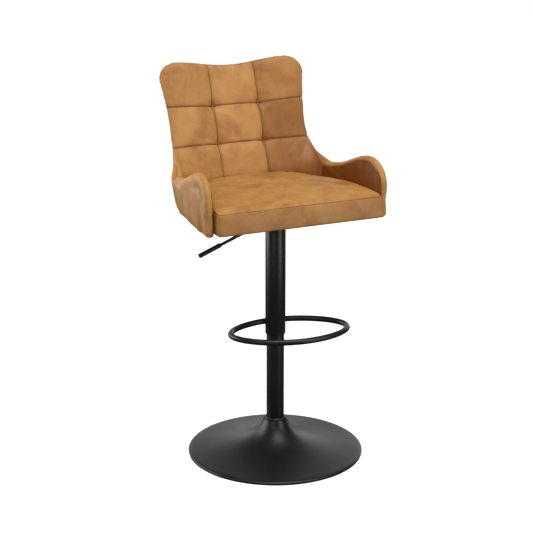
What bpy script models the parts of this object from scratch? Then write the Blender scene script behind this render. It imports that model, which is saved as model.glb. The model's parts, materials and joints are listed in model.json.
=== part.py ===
"""Height-adjustable bar stool with a footrest.

A trumpet base holds a fixed lower column. A gas cylinder stands on a piston rod inside the column, turns
on a thrust bearing and carries the outer sleeve, the footrest and the upholstered seat. A lever under the
seat presses the release button in the end of the cylinder.

Metres, +Z up. The origin is on the column's axis at the floor, and the sitter faces -Y.
"""

import math

import bmesh
import bpy
from mathutils import Matrix, Vector

# Gap between pieces that touch, and the play around a screw or in a slot
GAP = 0.0003
PLAY = 0.0005

# Base
BASE_RADIUS = 0.225
BASE_WALL = 0.002
LIP_INNER = 0.219
LIP_BOTTOM = 0.0031
TRUMPET_SINK = -0.00976
TRUMPET_RISE = 0.0042685
TRUMPET_OFFSET = 0.01472
NECK_RADIUS = 0.0285
PAD_RADIUS = 0.205
PAD_THICK = 0.0020
BALLAST_RADIUS = 0.185
BALLAST_THICK = 0.0055
FLANGE_RADIUS = 0.050
FLANGE_THICK = 0.005
FLANGE_BOLT_CIRCLE = 0.037

# Column, gas lift and sleeve
COLUMN_RADIUS = 0.0225
COLUMN_WALL = 0.0018
COLUMN_TOP = 0.505
SLEEVE_RADIUS = 0.0257
SLEEVE_WALL = 0.0015
SLEEVE_BOTTOM = 0.324
SLEEVE_TOP = 0.5952
BUSH_HEIGHT = 0.012
GUIDE_LENGTH = 0.055
CYLINDER_RADIUS = 0.014
CYLINDER_BORE = 0.0115
CYLINDER_BOTTOM = 0.160
CYLINDER_TOP = 0.6035
PISTON_TOP = 0.311
ROD_RADIUS = 0.005
FOOT_PLATE_BOTTOM = 0.030
RACE_BORE = 0.0056
RACE_RADIUS = 0.0125

# Footrest ring: an oval loop whose ends meet the sleeve
RING_TUBE = 0.0074
RING_HALF_WIDTH = 0.1495
RING_FRONT = -0.1690
RING_BACK = 0.0135
RING_HEIGHT = 0.350
RING_POWER = 1.07
RING_STEPS = 40
RING_TURN = math.radians(-9.5)

# Lift housing, seat plate and lever
HOUSING_BOTTOM = 0.5957
HOUSING_TOP = 0.6262
PLATE_TOP = 0.6295
PLATE_REACH_X = 0.085
PLATE_REACH_Y = 0.075
PLATE_BOLT_X = 0.068
PLATE_BOLT_Y = 0.058
LEVER_PIVOT = Vector((-0.024, 0.0, 0.6135))
LEVER_RADIUS = 0.004
GRIP_RADIUS = 0.0058
LEVER_BEND = Vector((-0.040, 0.0, 0.6105))
LEVER_END = Vector((-0.2085, 0.0, 0.5470))
GRIP_LENGTH = 0.062

# Seat
SEAT_FRONT = -0.156
SEAT_RAKE = 0.008
SEAT_BOTTOM = 0.631
SEAT_SEAM = 0.684
SEAT_CROWN = 0.024
BOARD_BOTTOM = 0.6335
BOARD_THICK = 0.012

# Straps and brackets under the seat, made of one flat bar
FLAT_TOP = 0.629
FLAT_THICK = 0.0025
FLAT_HALF_WIDTH = 0.012
SCREW_HEAD_HEIGHT = 0.002
STRAP_Y = -0.060
STRAP_SCREW_X = 0.150
STRAP_MARGIN = 0.015
STRAP_TIP = 0.0055
BRACKET_X = 0.070
BRACKET_TOE = 0.082
BRACKET_SCREW_INSET = 0.014
BRACKET_FACE = 0.180
BRACKET_RISE = 0.672
BRACKET_LEVEL = 0.6625

# Arms and back: one bucket wall, cut in three by the seam at ARM_SEAM
ARM_FRONT = -0.130
ARM_SEAM = 0.1215
FRONT_HALF_WIDTH = 0.245
SEAM_HALF_WIDTH = 0.2275
FRONT_INNER = 0.224
SEAM_INNER = 0.1935
WALL_BOTTOM = 0.631
ARM_DROP = 0.003
FRONT_FOOT = 0.006
REAR_FOOT = 0.0225
CENTRE_FOOT = 0.010
WALL_LEAN = 0.010
BACK_TOP = 0.984
BACK_DIP = 0.016
DIP_REACH = 0.165
DIP_START = 0.800
BACK_CORNER = 0.050
BACK_RECLINE = 0.33
BACK_FOOT = 0.165
BACK_THICK = 0.038
SEAT_LEVEL = 0.702
CUSHION_GAP = 0.003


# Helpers

def material(name, colour, roughness, metallic=0.0):
    made = bpy.data.materials.new(name)
    made.use_nodes = True
    shader = made.node_tree.nodes["Principled BSDF"]
    shader.inputs["Base Color"].default_value = (*colour, 1.0)
    shader.inputs["Roughness"].default_value = roughness
    shader.inputs["Metallic"].default_value = metallic
    return made


def finish_mesh(name, bm, finish, parent=None, origin=(0, 0, 0), smooth_deg=40):
    """Turns a bmesh, in the object's own axes, into an object placed at origin in its parent's axes."""
    bmesh.ops.recalc_face_normals(bm, faces=bm.faces)
    mesh = bpy.data.meshes.new(name)
    bm.to_mesh(mesh)
    bm.free()
    mesh.shade_smooth()
    mesh.set_sharp_from_angle(angle=math.radians(smooth_deg))
    mesh.materials.append(finish)
    made = bpy.data.objects.new(name, mesh)
    bpy.context.scene.collection.objects.link(made)
    made.parent = parent
    made.location = origin
    return made


def turned_mesh(profile, segments):
    """A closed (radius, height) profile spun once round Z."""
    bm = bmesh.new()
    points = [bm.verts.new((radius, 0.0, height)) for radius, height in profile]
    edges = [bm.edges.new(pair) for pair in zip(points, points[1:] + points[:1])]
    bmesh.ops.spin(
        bm,
        geom=points + edges,
        cent=(0, 0, 0),
        axis=(0, 0, 1),
        angle=math.tau,
        steps=segments,
        use_merge=True,
    )
    bmesh.ops.remove_doubles(bm, verts=bm.verts, dist=1e-6)
    loose = [edge for edge in bm.edges if not edge.link_faces]
    bmesh.ops.delete(bm, geom=loose, context="EDGES")
    return bm


def turned(name, profile, finish, parent=None, origin=(0, 0, 0), segments=20):
    return finish_mesh(name, turned_mesh(profile, segments), finish, parent, origin)


def tube_profile(inner, outer, bottom, top):
    return [(outer, bottom), (outer, top), (inner, top), (inner, bottom)]


def disc_profile(radius, bottom, top):
    return [(0.0, bottom), (radius, bottom), (radius, top), (0.0, top)]


def box_mesh(low, high):
    bm = bmesh.new()
    bmesh.ops.create_cube(bm, size=1.0)
    low, high = Vector(low), Vector(high)
    bmesh.ops.scale(bm, vec=high - low, verts=bm.verts)
    bmesh.ops.translate(bm, vec=(low + high) / 2, verts=bm.verts)
    return bm


def slab_mesh(near, far):
    """A closed body between two grids of points of the same size."""
    bm = bmesh.new()
    rows, columns = len(near), len(near[0])
    sheets = [[[bm.verts.new(point) for point in row] for row in grid] for grid in (near, far)]
    for sheet in sheets:
        for i in range(rows - 1):
            for j in range(columns - 1):
                bm.faces.new((sheet[i][j], sheet[i + 1][j], sheet[i + 1][j + 1], sheet[i][j + 1]))
    rim = [(0, j) for j in range(columns)]
    rim += [(i, columns - 1) for i in range(1, rows)]
    rim += [(rows - 1, j) for j in range(columns - 2, -1, -1)]
    rim += [(i, 0) for i in range(rows - 2, 0, -1)]
    for (i, j), (k, m) in zip(rim, rim[1:] + rim[:1]):
        bm.faces.new((sheets[0][i][j], sheets[0][k][m], sheets[1][k][m], sheets[1][i][j]))
    return bm


def lofted_mesh(sections):
    """A closed body through closed sections that have the same number of points."""
    bm = bmesh.new()
    rings = [[bm.verts.new(point) for point in section] for section in sections]
    for ring, after in zip(rings, rings[1:]):
        for k in range(len(ring)):
            m = (k + 1) % len(ring)
            bm.faces.new((ring[k], ring[m], after[m], after[k]))
    bm.faces.new(rings[0])
    bm.faces.new(rings[-1])
    return bm


def round_bar_mesh(path, radius, sides=12):
    """A round bar along a path of points, square at both ends. A closed path's two ends are left apart."""
    sections = []
    for k, point in enumerate(path):
        forward = (path[min(k + 1, len(path) - 1)] - path[max(k - 1, 0)]).normalized()
        across = forward.cross(Vector((0, 0, 1))).normalized()
        up = across.cross(forward)
        angles = [math.tau * side / sides for side in range(sides)]
        sections.append(
            [point + radius * (math.cos(a) * across + math.sin(a) * up) for a in angles]
        )
    return lofted_mesh(sections)


def cut(target, name, bm, parent=None, origin=(0, 0, 0)):
    """Takes the shape in bm out of target with a Boolean, and keeps the cutter hidden."""
    cutter = finish_mesh(name, bm, target.data.materials[0], parent, origin)
    cutter.hide_render = True
    cutter.display_type = "WIRE"
    modifier = target.modifiers.new(name, "BOOLEAN")
    modifier.operation = "DIFFERENCE"
    modifier.solver = "EXACT"
    modifier.object = cutter
    return cutter


def drill(target, name, radius, bottom, top, x=0.0, y=0.0, segments=16):
    cut(target, name, turned_mesh(disc_profile(radius, bottom, top), segments), None, (x, y, 0))


def drill_up(target, name, radius, x, y):
    """A screw hole through the plates and cloth under the seat and into the boards over them."""
    drill(target, name, radius, PLATE_TOP - 0.0095, BOARD_BOTTOM + 0.011, x, y, 12)


def axis_empty(name, location, parent=None):
    made = bpy.data.objects.new(name, None)
    made.empty_display_size = 0.05
    made.location = location
    made.parent = parent
    bpy.context.scene.collection.objects.link(made)
    return made


def smooth(amount):
    amount = min(max(amount, 0.0), 1.0)
    return amount * amount * (3 - 2 * amount)


def curve_at(points, at):
    """A smooth curve through (position, value) points, flat where the values turn (monotone cubic)."""
    if at <= points[0][0]:
        return points[0][1]
    if at >= points[-1][0]:
        return points[-1][1]
    slopes = [(b[1] - a[1]) / (b[0] - a[0]) for a, b in zip(points, points[1:])]
    turns = [slopes[0]]
    for before, after in zip(slopes, slopes[1:]):
        turns.append(0.0 if before * after <= 0 else 2 * before * after / (before + after))
    turns.append(slopes[-1])
    k = max(i for i in range(len(points) - 1) if points[i][0] <= at)
    width = points[k + 1][0] - points[k][0]
    t = (at - points[k][0]) / width
    return (
        points[k][1] * (2 * t**3 - 3 * t**2 + 1)
        + width * turns[k] * (t**3 - 2 * t**2 + t)
        + points[k + 1][1] * (3 * t**2 - 2 * t**3)
        + width * turns[k + 1] * (t**3 - t**2)
    )


def spread(count, crowd=1.0):
    """Positions from -1 to 1, closer together towards both ends where crowd is over 1."""
    steps = [2 * k / (count - 1) - 1 for k in range(count)]
    return [math.copysign(1 - (1 - abs(s)) ** crowd, s) for s in steps]


# Base

def trumpet_height(radius):
    return TRUMPET_SINK + TRUMPET_RISE / (radius + TRUMPET_OFFSET)


def base_shell(finish):
    steps = 9
    radii = [NECK_RADIUS + (LIP_INNER - NECK_RADIUS) * (k / steps) ** 1.7 for k in range(steps + 1)]
    outside = [(radius, trumpet_height(radius)) for radius in radii]
    lip = [(0.2236, 0.0070), (BASE_RADIUS, 0.0052), (BASE_RADIUS, LIP_BOTTOM), (0.2222, LIP_BOTTOM)]
    inside = [(radius - 0.0012, trumpet_height(radius) - BASE_WALL) for radius in reversed(radii)]
    turned("base_shell", outside + lip + inside, finish, segments=44)


def base_pieces(steel, rubber, plastic, iron):
    base_shell(steel)
    turned("rim_ring", tube_profile(0.2175, 0.2243, 0.0, LIP_BOTTOM - GAP), rubber, segments=44)
    turned("floor_pad", disc_profile(PAD_RADIUS, 0.0, PAD_THICK), rubber, segments=40)
    ballast_bottom = PAD_THICK + GAP
    ballast_top = ballast_bottom + BALLAST_THICK
    ballast = turned(
        "ballast_plate", disc_profile(BALLAST_RADIUS, ballast_bottom, ballast_top), iron, segments=28
    )
    flange_bottom = ballast_top + GAP
    flange_top = flange_bottom + FLANGE_THICK
    flange = turned(
        "column_flange", disc_profile(FLANGE_RADIUS, flange_bottom, flange_top), steel, segments=24
    )
    shank = 0.004
    for k in range(3):
        turn = math.tau * k / 3 + math.pi / 2
        x, y = FLANGE_BOLT_CIRCLE * math.cos(turn), FLANGE_BOLT_CIRCLE * math.sin(turn)
        under = ballast_bottom + 0.001
        for target in (ballast, flange):
            name = f"{target.name}_hole_{k}"
            drill(target, name, shank + PLAY, ballast_bottom - 0.001, flange_top + 0.001, x, y)
        name = f"flange_bolt_{k + 1}"
        bolt(name, shank, 0.0075, under, flange_top + GAP, 0.005, steel, (x, y, 0))
    turned(
        "column_collar",
        [
            (COLUMN_RADIUS + PLAY, 0.0835),
            (NECK_RADIUS - 0.0019, 0.0835),
            (NECK_RADIUS - 0.0019, 0.0900),
            (NECK_RADIUS - 0.0004, 0.0915),
            (COLUMN_RADIUS + PLAY, 0.0950),
        ],
        plastic,
        segments=36,
    )
    return flange_top


def bolt(name, shank, head, low, seat, head_height, finish, origin, parent=None):
    """A bolt with its shank from low up to seat and its head above, chamfered at the top."""
    chamfer = 0.15 * head_height
    profile = [(0.0, low), (shank, low), (shank, seat), (head, seat), (head, seat + head_height - chamfer)]
    profile += [(head - chamfer, seat + head_height), (0.0, seat + head_height)]
    return turned(name, profile, finish, parent, origin, segments=12)


def flip(piece, about):
    """Turns a piece modelled heads-up to heads-down about a height."""
    piece.data.transform(Matrix.Translation((0, 0, 2 * about)) @ Matrix.Rotation(math.pi, 4, "X"))


# Column, bearing and gas lift

def column_pieces(flange_top, steel, plastic):
    inner = COLUMN_RADIUS - COLUMN_WALL
    turned(
        "lower_column",
        tube_profile(inner, COLUMN_RADIUS, flange_top + GAP, COLUMN_TOP),
        steel,
        segments=36,
    )
    bore = CYLINDER_RADIUS + PLAY
    turned(
        "guide_bush",
        [
            (bore, COLUMN_TOP - GUIDE_LENGTH),
            (inner - GAP, COLUMN_TOP - GUIDE_LENGTH),
            (inner - GAP, COLUMN_TOP + GAP),
            (COLUMN_RADIUS - GAP, COLUMN_TOP + GAP),
            (COLUMN_RADIUS - GAP, COLUMN_TOP + 0.002),
            (bore, COLUMN_TOP + 0.002),
        ],
        plastic,
    )
    turned(
        "foot_plate",
        tube_profile(ROD_RADIUS - 0.0005, inner - GAP, FOOT_PLATE_BOTTOM, FOOT_PLATE_BOTTOM + 0.005),
        steel,
    )
    turned("bearing_lower_race", tube_profile(RACE_BORE, RACE_RADIUS, 0.0353, 0.0370), steel)


def rod_pieces(swivel, chrome, steel, plastic, rubber):
    """The piston rod on its thrust bearing. Its neck hangs through the foot plate and holds the clip."""
    neck = ROD_RADIUS - 0.0012
    foot, shoulder, piston_foot = 0.0215, 0.0430, PISTON_TOP - 0.010
    piston_radius = CYLINDER_BORE - PLAY
    profile = [(0.0, foot), (neck, foot), (neck, shoulder), (ROD_RADIUS, shoulder)]
    profile += [(ROD_RADIUS, piston_foot), (piston_radius, piston_foot)]
    profile += [(piston_radius, PISTON_TOP), (0.0, PISTON_TOP)]
    turned("piston_rod", profile, chrome, swivel)
    turned("bearing_ball_cage", tube_profile(RACE_BORE, 0.0120, 0.0373, 0.0392), plastic, swivel)
    turned("bearing_upper_race", tube_profile(RACE_BORE, RACE_RADIUS, 0.0395, 0.0412), steel, swivel)
    turned("rod_washer", tube_profile(neck + 0.0002, 0.0105, 0.0415, 0.0427), steel, swivel)
    turned("retaining_clip", tube_profile(neck + 0.0002, 0.0085, 0.0278, 0.0294), steel, swivel)
    turned("stop_bumper", tube_profile(ROD_RADIUS + GAP, 0.0115, 0.0435, 0.0560), rubber, swivel)


def lift_pieces(lift, steel, dark_steel, plastic):
    bore = CYLINDER_BORE
    cylinder_bottom, cylinder_top = CYLINDER_BOTTOM, CYLINDER_TOP
    rod_hole = ROD_RADIUS + PLAY
    cylinder = turned(
        "gas_cylinder",
        [
            (rod_hole, cylinder_bottom),
            (CYLINDER_RADIUS, cylinder_bottom),
            (CYLINDER_RADIUS, cylinder_top - 0.03),
            (CYLINDER_RADIUS - 0.001, cylinder_top),
            (0.0, cylinder_top),
            (0.0, 0.560),
            (bore, 0.550),
            (bore, cylinder_bottom + 0.006),
            (rod_hole, cylinder_bottom + 0.006),
        ],
        dark_steel,
        lift,
        segments=18,
    )
    drill(cylinder, "button_bore", 0.0046, 0.5905, cylinder_top + 0.001)
    turned(
        "outer_sleeve",
        tube_profile(SLEEVE_RADIUS - SLEEVE_WALL, SLEEVE_RADIUS, SLEEVE_BOTTOM, SLEEVE_TOP),
        steel,
        lift,
        segments=36,
    )
    inside = SLEEVE_RADIUS - SLEEVE_WALL - GAP
    rim_bottom = SLEEVE_BOTTOM - 0.006
    turned(
        "sleeve_bush",
        [
            (COLUMN_RADIUS + 0.0004, rim_bottom),
            (SLEEVE_RADIUS - 0.0022, rim_bottom),
            (SLEEVE_RADIUS, rim_bottom + 0.0035),
            (SLEEVE_RADIUS, SLEEVE_BOTTOM - GAP),
            (inside, SLEEVE_BOTTOM - GAP),
            (inside, SLEEVE_BOTTOM + BUSH_HEIGHT),
            (COLUMN_RADIUS + 0.0004, SLEEVE_BOTTOM + BUSH_HEIGHT),
        ],
        plastic,
        lift,
        segments=36,
    )


def ring_path():
    """The oval's points, from one side of the sleeve round the front to the other."""
    centre = Vector((0, (RING_FRONT + RING_BACK) / 2, RING_HEIGHT))
    half_depth = (RING_BACK - RING_FRONT) / 2
    reach = SLEEVE_RADIUS / 2
    start = math.acos(reach / RING_HALF_WIDTH)
    sweep = math.tau - 2 * (math.pi / 2 - start)
    turn = Matrix.Rotation(RING_TURN, 3, "Z")
    path = []
    for k in range(RING_STEPS + 1):
        angle = start - sweep * k / RING_STEPS
        x = RING_HALF_WIDTH * math.copysign(abs(math.cos(angle)) ** RING_POWER, math.cos(angle))
        y = half_depth * math.copysign(abs(math.sin(angle)) ** RING_POWER, math.sin(angle))
        path.append(centre + turn @ Vector((x, y, 0)))
    return path


def footrest(lift, steel):
    ring = finish_mesh("footrest_ring", round_bar_mesh(ring_path(), RING_TUBE, 8), steel, lift)
    seat = turned_mesh(disc_profile(SLEEVE_RADIUS + GAP, RING_HEIGHT - 0.02, RING_HEIGHT + 0.02), 36)
    cut(ring, "ring_cope", seat, lift)


# Seat mechanism

def mechanism(lift, steel, plate_steel):
    """The lift housing, with its socket, lever slot and pin bore. Returns the seat plate on it."""
    low, high = (-0.042, -0.026, HOUSING_BOTTOM), (0.034, 0.026, HOUSING_TOP)
    housing = finish_mesh("lift_housing", box_mesh(low, high), steel, lift)
    socket_top = CYLINDER_TOP + 0.0005
    drill(housing, "cylinder_socket", CYLINDER_RADIUS + GAP, HOUSING_BOTTOM - 0.001, socket_top)
    cut(housing, "lever_slot", box_mesh((-0.045, -0.0055, 0.6010), (0.014, 0.0055, 0.6222)))
    pin_hole = turned_mesh(disc_profile(0.0028, -0.03, 0.03), 12)
    cut(housing, "pin_bore", pin_hole, None, LEVER_PIVOT).rotation_euler.x = math.pi / 2
    low = (-PLATE_REACH_X, -PLATE_REACH_Y, HOUSING_TOP + GAP)
    high = (PLATE_REACH_X, PLATE_REACH_Y, PLATE_TOP)
    return finish_mesh("seat_plate", box_mesh(low, high), plate_steel, lift)


def plate_bolts(lift, plate, cover, board, steel):
    """Four bolts through the seat plate and the dust cover into the seat board."""
    shank = 0.0035
    corners = [(sx * PLATE_BOLT_X, sy * PLATE_BOLT_Y) for sy in (-1, 1) for sx in (-1, 1)]
    for k, (x, y) in enumerate(corners):
        for target in (plate, cover, board):
            drill(target, f"{target.name}_bolt_hole_{k}", shank + PLAY, PLATE_TOP - 0.0095, 0.65, x, y, 12)
        name = f"seat_bolt_{k + 1}"
        screw = bolt(name, shank, 0.007, HOUSING_TOP - 0.018, HOUSING_TOP, 0.0045, steel, (x, y, 0), lift)
        flip(screw, HOUSING_TOP)


def lever(axis, steel, plastic):
    """The lever, in axes whose origin is its pivot. Its flat inner end lies over the release button."""
    bend, end = LEVER_BEND - LEVER_PIVOT, LEVER_END - LEVER_PIVOT
    run = (bend - end).normalized()
    grip_start = end + run * GRIP_LENGTH
    flat = box_mesh((-0.018, -0.0045, -0.0042), (0.030, 0.0045, 0.0046))
    inner = Vector((-0.010, 0, 0.0))
    tip = end + run * 0.004
    rod = round_bar_mesh([inner, bend, tip], LEVER_RADIUS, 12)
    arm = finish_mesh("lever_arm", flat, steel, axis)
    joined = finish_mesh("lever_rod_shape", rod, steel, axis)
    joined.hide_render = True
    joined.display_type = "WIRE"
    union = arm.modifiers.new("rod", "BOOLEAN")
    union.operation = "UNION"
    union.solver = "EXACT"
    union.object = joined
    hole = turned_mesh(disc_profile(0.0027, -0.01, 0.01), 12)
    cut(arm, "lever_pin_bore", hole, axis).rotation_euler.x = math.pi / 2
    grip = finish_mesh("lever_grip", round_bar_mesh([grip_start, end], GRIP_RADIUS, 14), plastic, axis)
    bore_path = [grip_start + run * 0.01, tip - run * PLAY]
    bore = round_bar_mesh(bore_path, LEVER_RADIUS + GAP, 12)
    cut(grip, "grip_bore", bore, axis)
    pin = turned("lever_pin", disc_profile(0.0024, -0.028, 0.028), steel, axis, segments=12)
    pin.rotation_euler.x = math.pi / 2


# Bucket wall

def seat_inner(y):
    """Half the width between the arms at y."""
    share = (y - ARM_FRONT) / (ARM_SEAM - ARM_FRONT)
    return FRONT_INNER + (SEAM_INNER - FRONT_INNER) * min(max(share, 0.0), 1.0)


def back_front_y(z):
    return BACK_FOOT + BACK_RECLINE * max(0.0, z - SEAT_LEVEL)


WING_OUTER = [(0.722, SEAM_HALF_WIDTH), (0.738, 0.2115), (0.758, 0.2000), (0.785, 0.1915), (0.83, 0.1900)]
WING_OUTER += [(0.90, 0.1965), (0.955, 0.2065)]
WING_INNER = [(0.722, SEAM_INNER), (0.738, 0.1922), (0.758, 0.1910), (0.785, 0.190), (0.83, 0.1885)]
WING_INNER += [(0.90, 0.195), (0.955, 0.205)]
EDGE_FRONT = [(0.722, ARM_SEAM), (0.738, 0.138), (0.758, 0.163), (0.785, 0.189), (0.81, 0.2055)]
EDGE_REAR = [(0.722, ARM_SEAM), (0.738, 0.155), (0.758, 0.186), (0.785, 0.208), (0.81, 0.218)]
EDGE_BLEND = 0.81


def corner_shrink(z):
    """How much the back narrows at z because its top corners are round."""
    over = z - (BACK_TOP - BACK_CORNER)
    return 0.0 if over <= 0 else BACK_CORNER - math.sqrt(max(BACK_CORNER**2 - over**2, 0.0))


def foot_tuck(z, radius):
    """How far the outside of the bucket wall is tucked in at z by its round bottom edge."""
    below = radius - (z - WALL_BOTTOM)
    return 0.0 if below <= 0 else radius - math.sqrt(max(radius**2 - below**2, 0.0))


def wall_lean_share(z):
    return smooth((0.715 - z) / 0.075)


def back_point(u, z, depth):
    """A point of the back wall: u from -1 to 1 across, depth from 0 at its front face to 1 at its rear."""
    thick = BACK_THICK * (1 - 0.25 * smooth((z - EDGE_BLEND) / 0.17))
    over = max(0.0, z - (BACK_TOP - 0.02)) / 0.02
    thin = 1 - 0.4 * (1 - math.sqrt(1 - min(over, 1.0) ** 2))
    front_y, rear_y = back_front_y(z), back_front_y(z) + thick
    if z < EDGE_BLEND:
        edge_front, edge_rear = curve_at(EDGE_FRONT, z), curve_at(EDGE_REAR, z)
    else:
        forward = 0.005 * smooth((z - EDGE_BLEND) / 0.05)
        edge_front = front_y + 0.005 - forward
        edge_rear = front_y + 0.0174 - 0.010 * smooth((z - EDGE_BLEND) / 0.14) - forward
    wing = smooth((0.80 - z) / 0.078)
    front_power, rear_power = 5.0 - 2.6 * wing, 2.7 - 0.5 * wing
    shrink = corner_shrink(z)
    lean = WALL_LEAN * wall_lean_share(z)
    side_tuck = foot_tuck(z, REAR_FOOT) + lean
    rear_tuck = foot_tuck(z, CENTRE_FOOT) + 0.4 * lean
    front = Vector((
        u * (curve_at(WING_INNER, z) - shrink),
        edge_front + (front_y - edge_front) * (1 - abs(u) ** front_power) ** (1 / front_power),
        z,
    ))
    rear = Vector((
        u * (curve_at(WING_OUTER, z) - shrink - side_tuck),
        edge_rear + (rear_y - rear_tuck - edge_rear) * (1 - abs(u) ** rear_power) ** (1 / rear_power),
        z,
    ))
    share = 0.5 + (depth - 0.5) * thin
    point = front.lerp(rear, share)
    hollow = (1 + math.cos(math.pi * min(abs(point.x) / DIP_REACH, 1.0))) / 2
    dip = BACK_DIP * hollow * smooth((z - DIP_START) / (BACK_TOP - DIP_START))
    point.z -= dip
    return point


BACK_ROWS = [0.632, 0.638, 0.650, 0.675, 0.700, 0.711, 0.722, 0.730, 0.738, 0.748, 0.758, 0.771, 0.785]
BACK_ROWS += [0.797, 0.81, 0.83, 0.85, 0.875, 0.90, 0.920, 0.940, 0.950, 0.960, 0.967, 0.973, 0.978, 0.981]
BACK_ROWS += [BACK_TOP]


def back_grid(depth, rows, columns):
    return [[back_point(u, z, depth(i, j)) for j, u in enumerate(columns)] for i, z in enumerate(rows)]


def back_pieces(lift, leather, wood):
    columns = spread(19, 2.0)
    pad_rows = [z for z in BACK_ROWS if z > 0.66]
    near = back_grid(lambda i, j: 0.0, pad_rows, columns)
    far = back_grid(lambda i, j: 0.55, pad_rows, columns)
    finish_mesh("back_cushion", slab_mesh(near, far), leather, lift)

    rows = BACK_ROWS
    last_row, last_column = len(rows) - 1, len(columns) - 1

    def inner_depth(i, j):
        at_rim = i >= last_row - 3 or j <= 1 or j >= last_column - 1
        return 0.565 if at_rim and rows[i] > 0.66 else 0.80

    near = back_grid(inner_depth, rows, columns)
    far = back_grid(lambda i, j: 1.0, rows, columns)
    finish_mesh("back_cover", slab_mesh(near, far), leather, lift)

    board_rows = [z for z in BACK_ROWS if 0.640 < z < 0.955]
    board_columns = [u for u in columns if abs(u) < 0.85]
    near = back_grid(lambda i, j: 0.585, board_rows, board_columns)
    far = back_grid(lambda i, j: 0.745, board_rows, board_columns)
    return finish_mesh("back_board", slab_mesh(near, far), wood, lift)


ARM_TOP = [(-0.130, 0.705), (-0.1275, 0.722), (-0.120, 0.740), (-0.106, 0.7565), (-0.088, 0.7665)]
ARM_TOP += [(-0.068, 0.7705), (-0.035, 0.766), (0.005, 0.752), (0.045, 0.737), (0.085, 0.7275)]
ARM_TOP += [(0.1195, 0.7235)]


def arm_section(side, y, share):
    """The arm's outline at y, from its inner bottom edge over the top to its outer bottom edge."""
    top = curve_at(ARM_TOP, y)
    inner = seat_inner(y)
    outer = FRONT_HALF_WIDTH + (SEAM_HALF_WIDTH - FRONT_HALF_WIDTH) * share
    radius = (outer - inner) / 2
    middle = (outer + inner) / 2
    corner = FRONT_FOOT + (REAR_FOOT - FRONT_FOOT) * smooth((y + 0.09) / 0.18)
    foot = WALL_BOTTOM - ARM_DROP * (1 - smooth(share / 0.5))
    outline = [(inner, foot), (inner, top - radius)]
    for k in range(1, 5):
        angle = math.pi * k / 5
        outline.append((middle - radius * math.cos(angle), top - radius + radius * math.sin(angle)))
    outline.append((outer, top - radius))
    lean = WALL_LEAN * smooth(y / ARM_SEAM)
    for k in range(4):
        angle = math.pi / 2 * k / 3
        x = outer - lean - corner + corner * math.cos(angle)
        outline.append((x, foot + corner - corner * math.sin(angle)))
    return [Vector((side * x, y, z)) for x, z in outline]


def arm_middle(y):
    """The middle of the arm's thickness at y."""
    share = (y - ARM_FRONT) / (ARM_SEAM - ARM_FRONT)
    outer = FRONT_HALF_WIDTH + (SEAM_HALF_WIDTH - FRONT_HALF_WIDTH) * share
    return (seat_inner(y) + outer) / 2


def arm_board_mesh(side, spare, bottom):
    """The plywood inside an arm, or its slot where spare is over 0."""
    grids = []
    for thick in (-0.003 - spare, 0.003 + spare):
        grid = []
        for y in (-0.112 - spare, -0.05, 0.02, 0.105 + spare):
            x = arm_middle(y) + thick
            top = min(curve_at(ARM_TOP, y), 0.742) - 0.022 + spare
            grid.append([Vector((side * x, y, z)) for z in (bottom, top)])
        grids.append(grid)
    return slab_mesh(*grids)


def arm_pieces(lift, leather, wood, side, word):
    pad_rear = ARM_SEAM - 0.0012
    stations = [y for y, _ in ARM_TOP[:-1]] + [pad_rear]
    sections = [arm_section(side, y, (y - ARM_FRONT) / (ARM_SEAM - ARM_FRONT)) for y in stations]
    pad = finish_mesh(f"arm_pad_{word}", lofted_mesh(sections), leather, lift)
    cut(pad, f"board_slot_{word}", arm_board_mesh(side, PLAY, 0.620), lift)
    board = finish_mesh(f"arm_board_{word}", arm_board_mesh(side, 0.0, BOARD_BOTTOM), wood, lift)
    return board


# Seat

def seat_rear_y(x):
    """The rear edge of the cushion, just in front of the back wall."""
    share = min(abs(x) / SEAM_INNER, 1.0)
    return ARM_SEAM + (BACK_FOOT - ARM_SEAM) * (1 - share**2.4) ** (1 / 2.4) - CUSHION_GAP


def seat_plan(u, v, inset=0.0):
    """A point of the seat's outline plan: u from -1 to 1 across, v from 0 at the front to 1 at the rear."""
    front = SEAT_FRONT + inset
    along = ARM_SEAM - 0.001
    y = front + (along - front) * v
    half = seat_inner(max(y, ARM_FRONT)) - CUSHION_GAP - inset
    x = u * half
    rear = seat_rear_y(x) - inset
    y = front + (rear - front) * v
    return x, y


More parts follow.
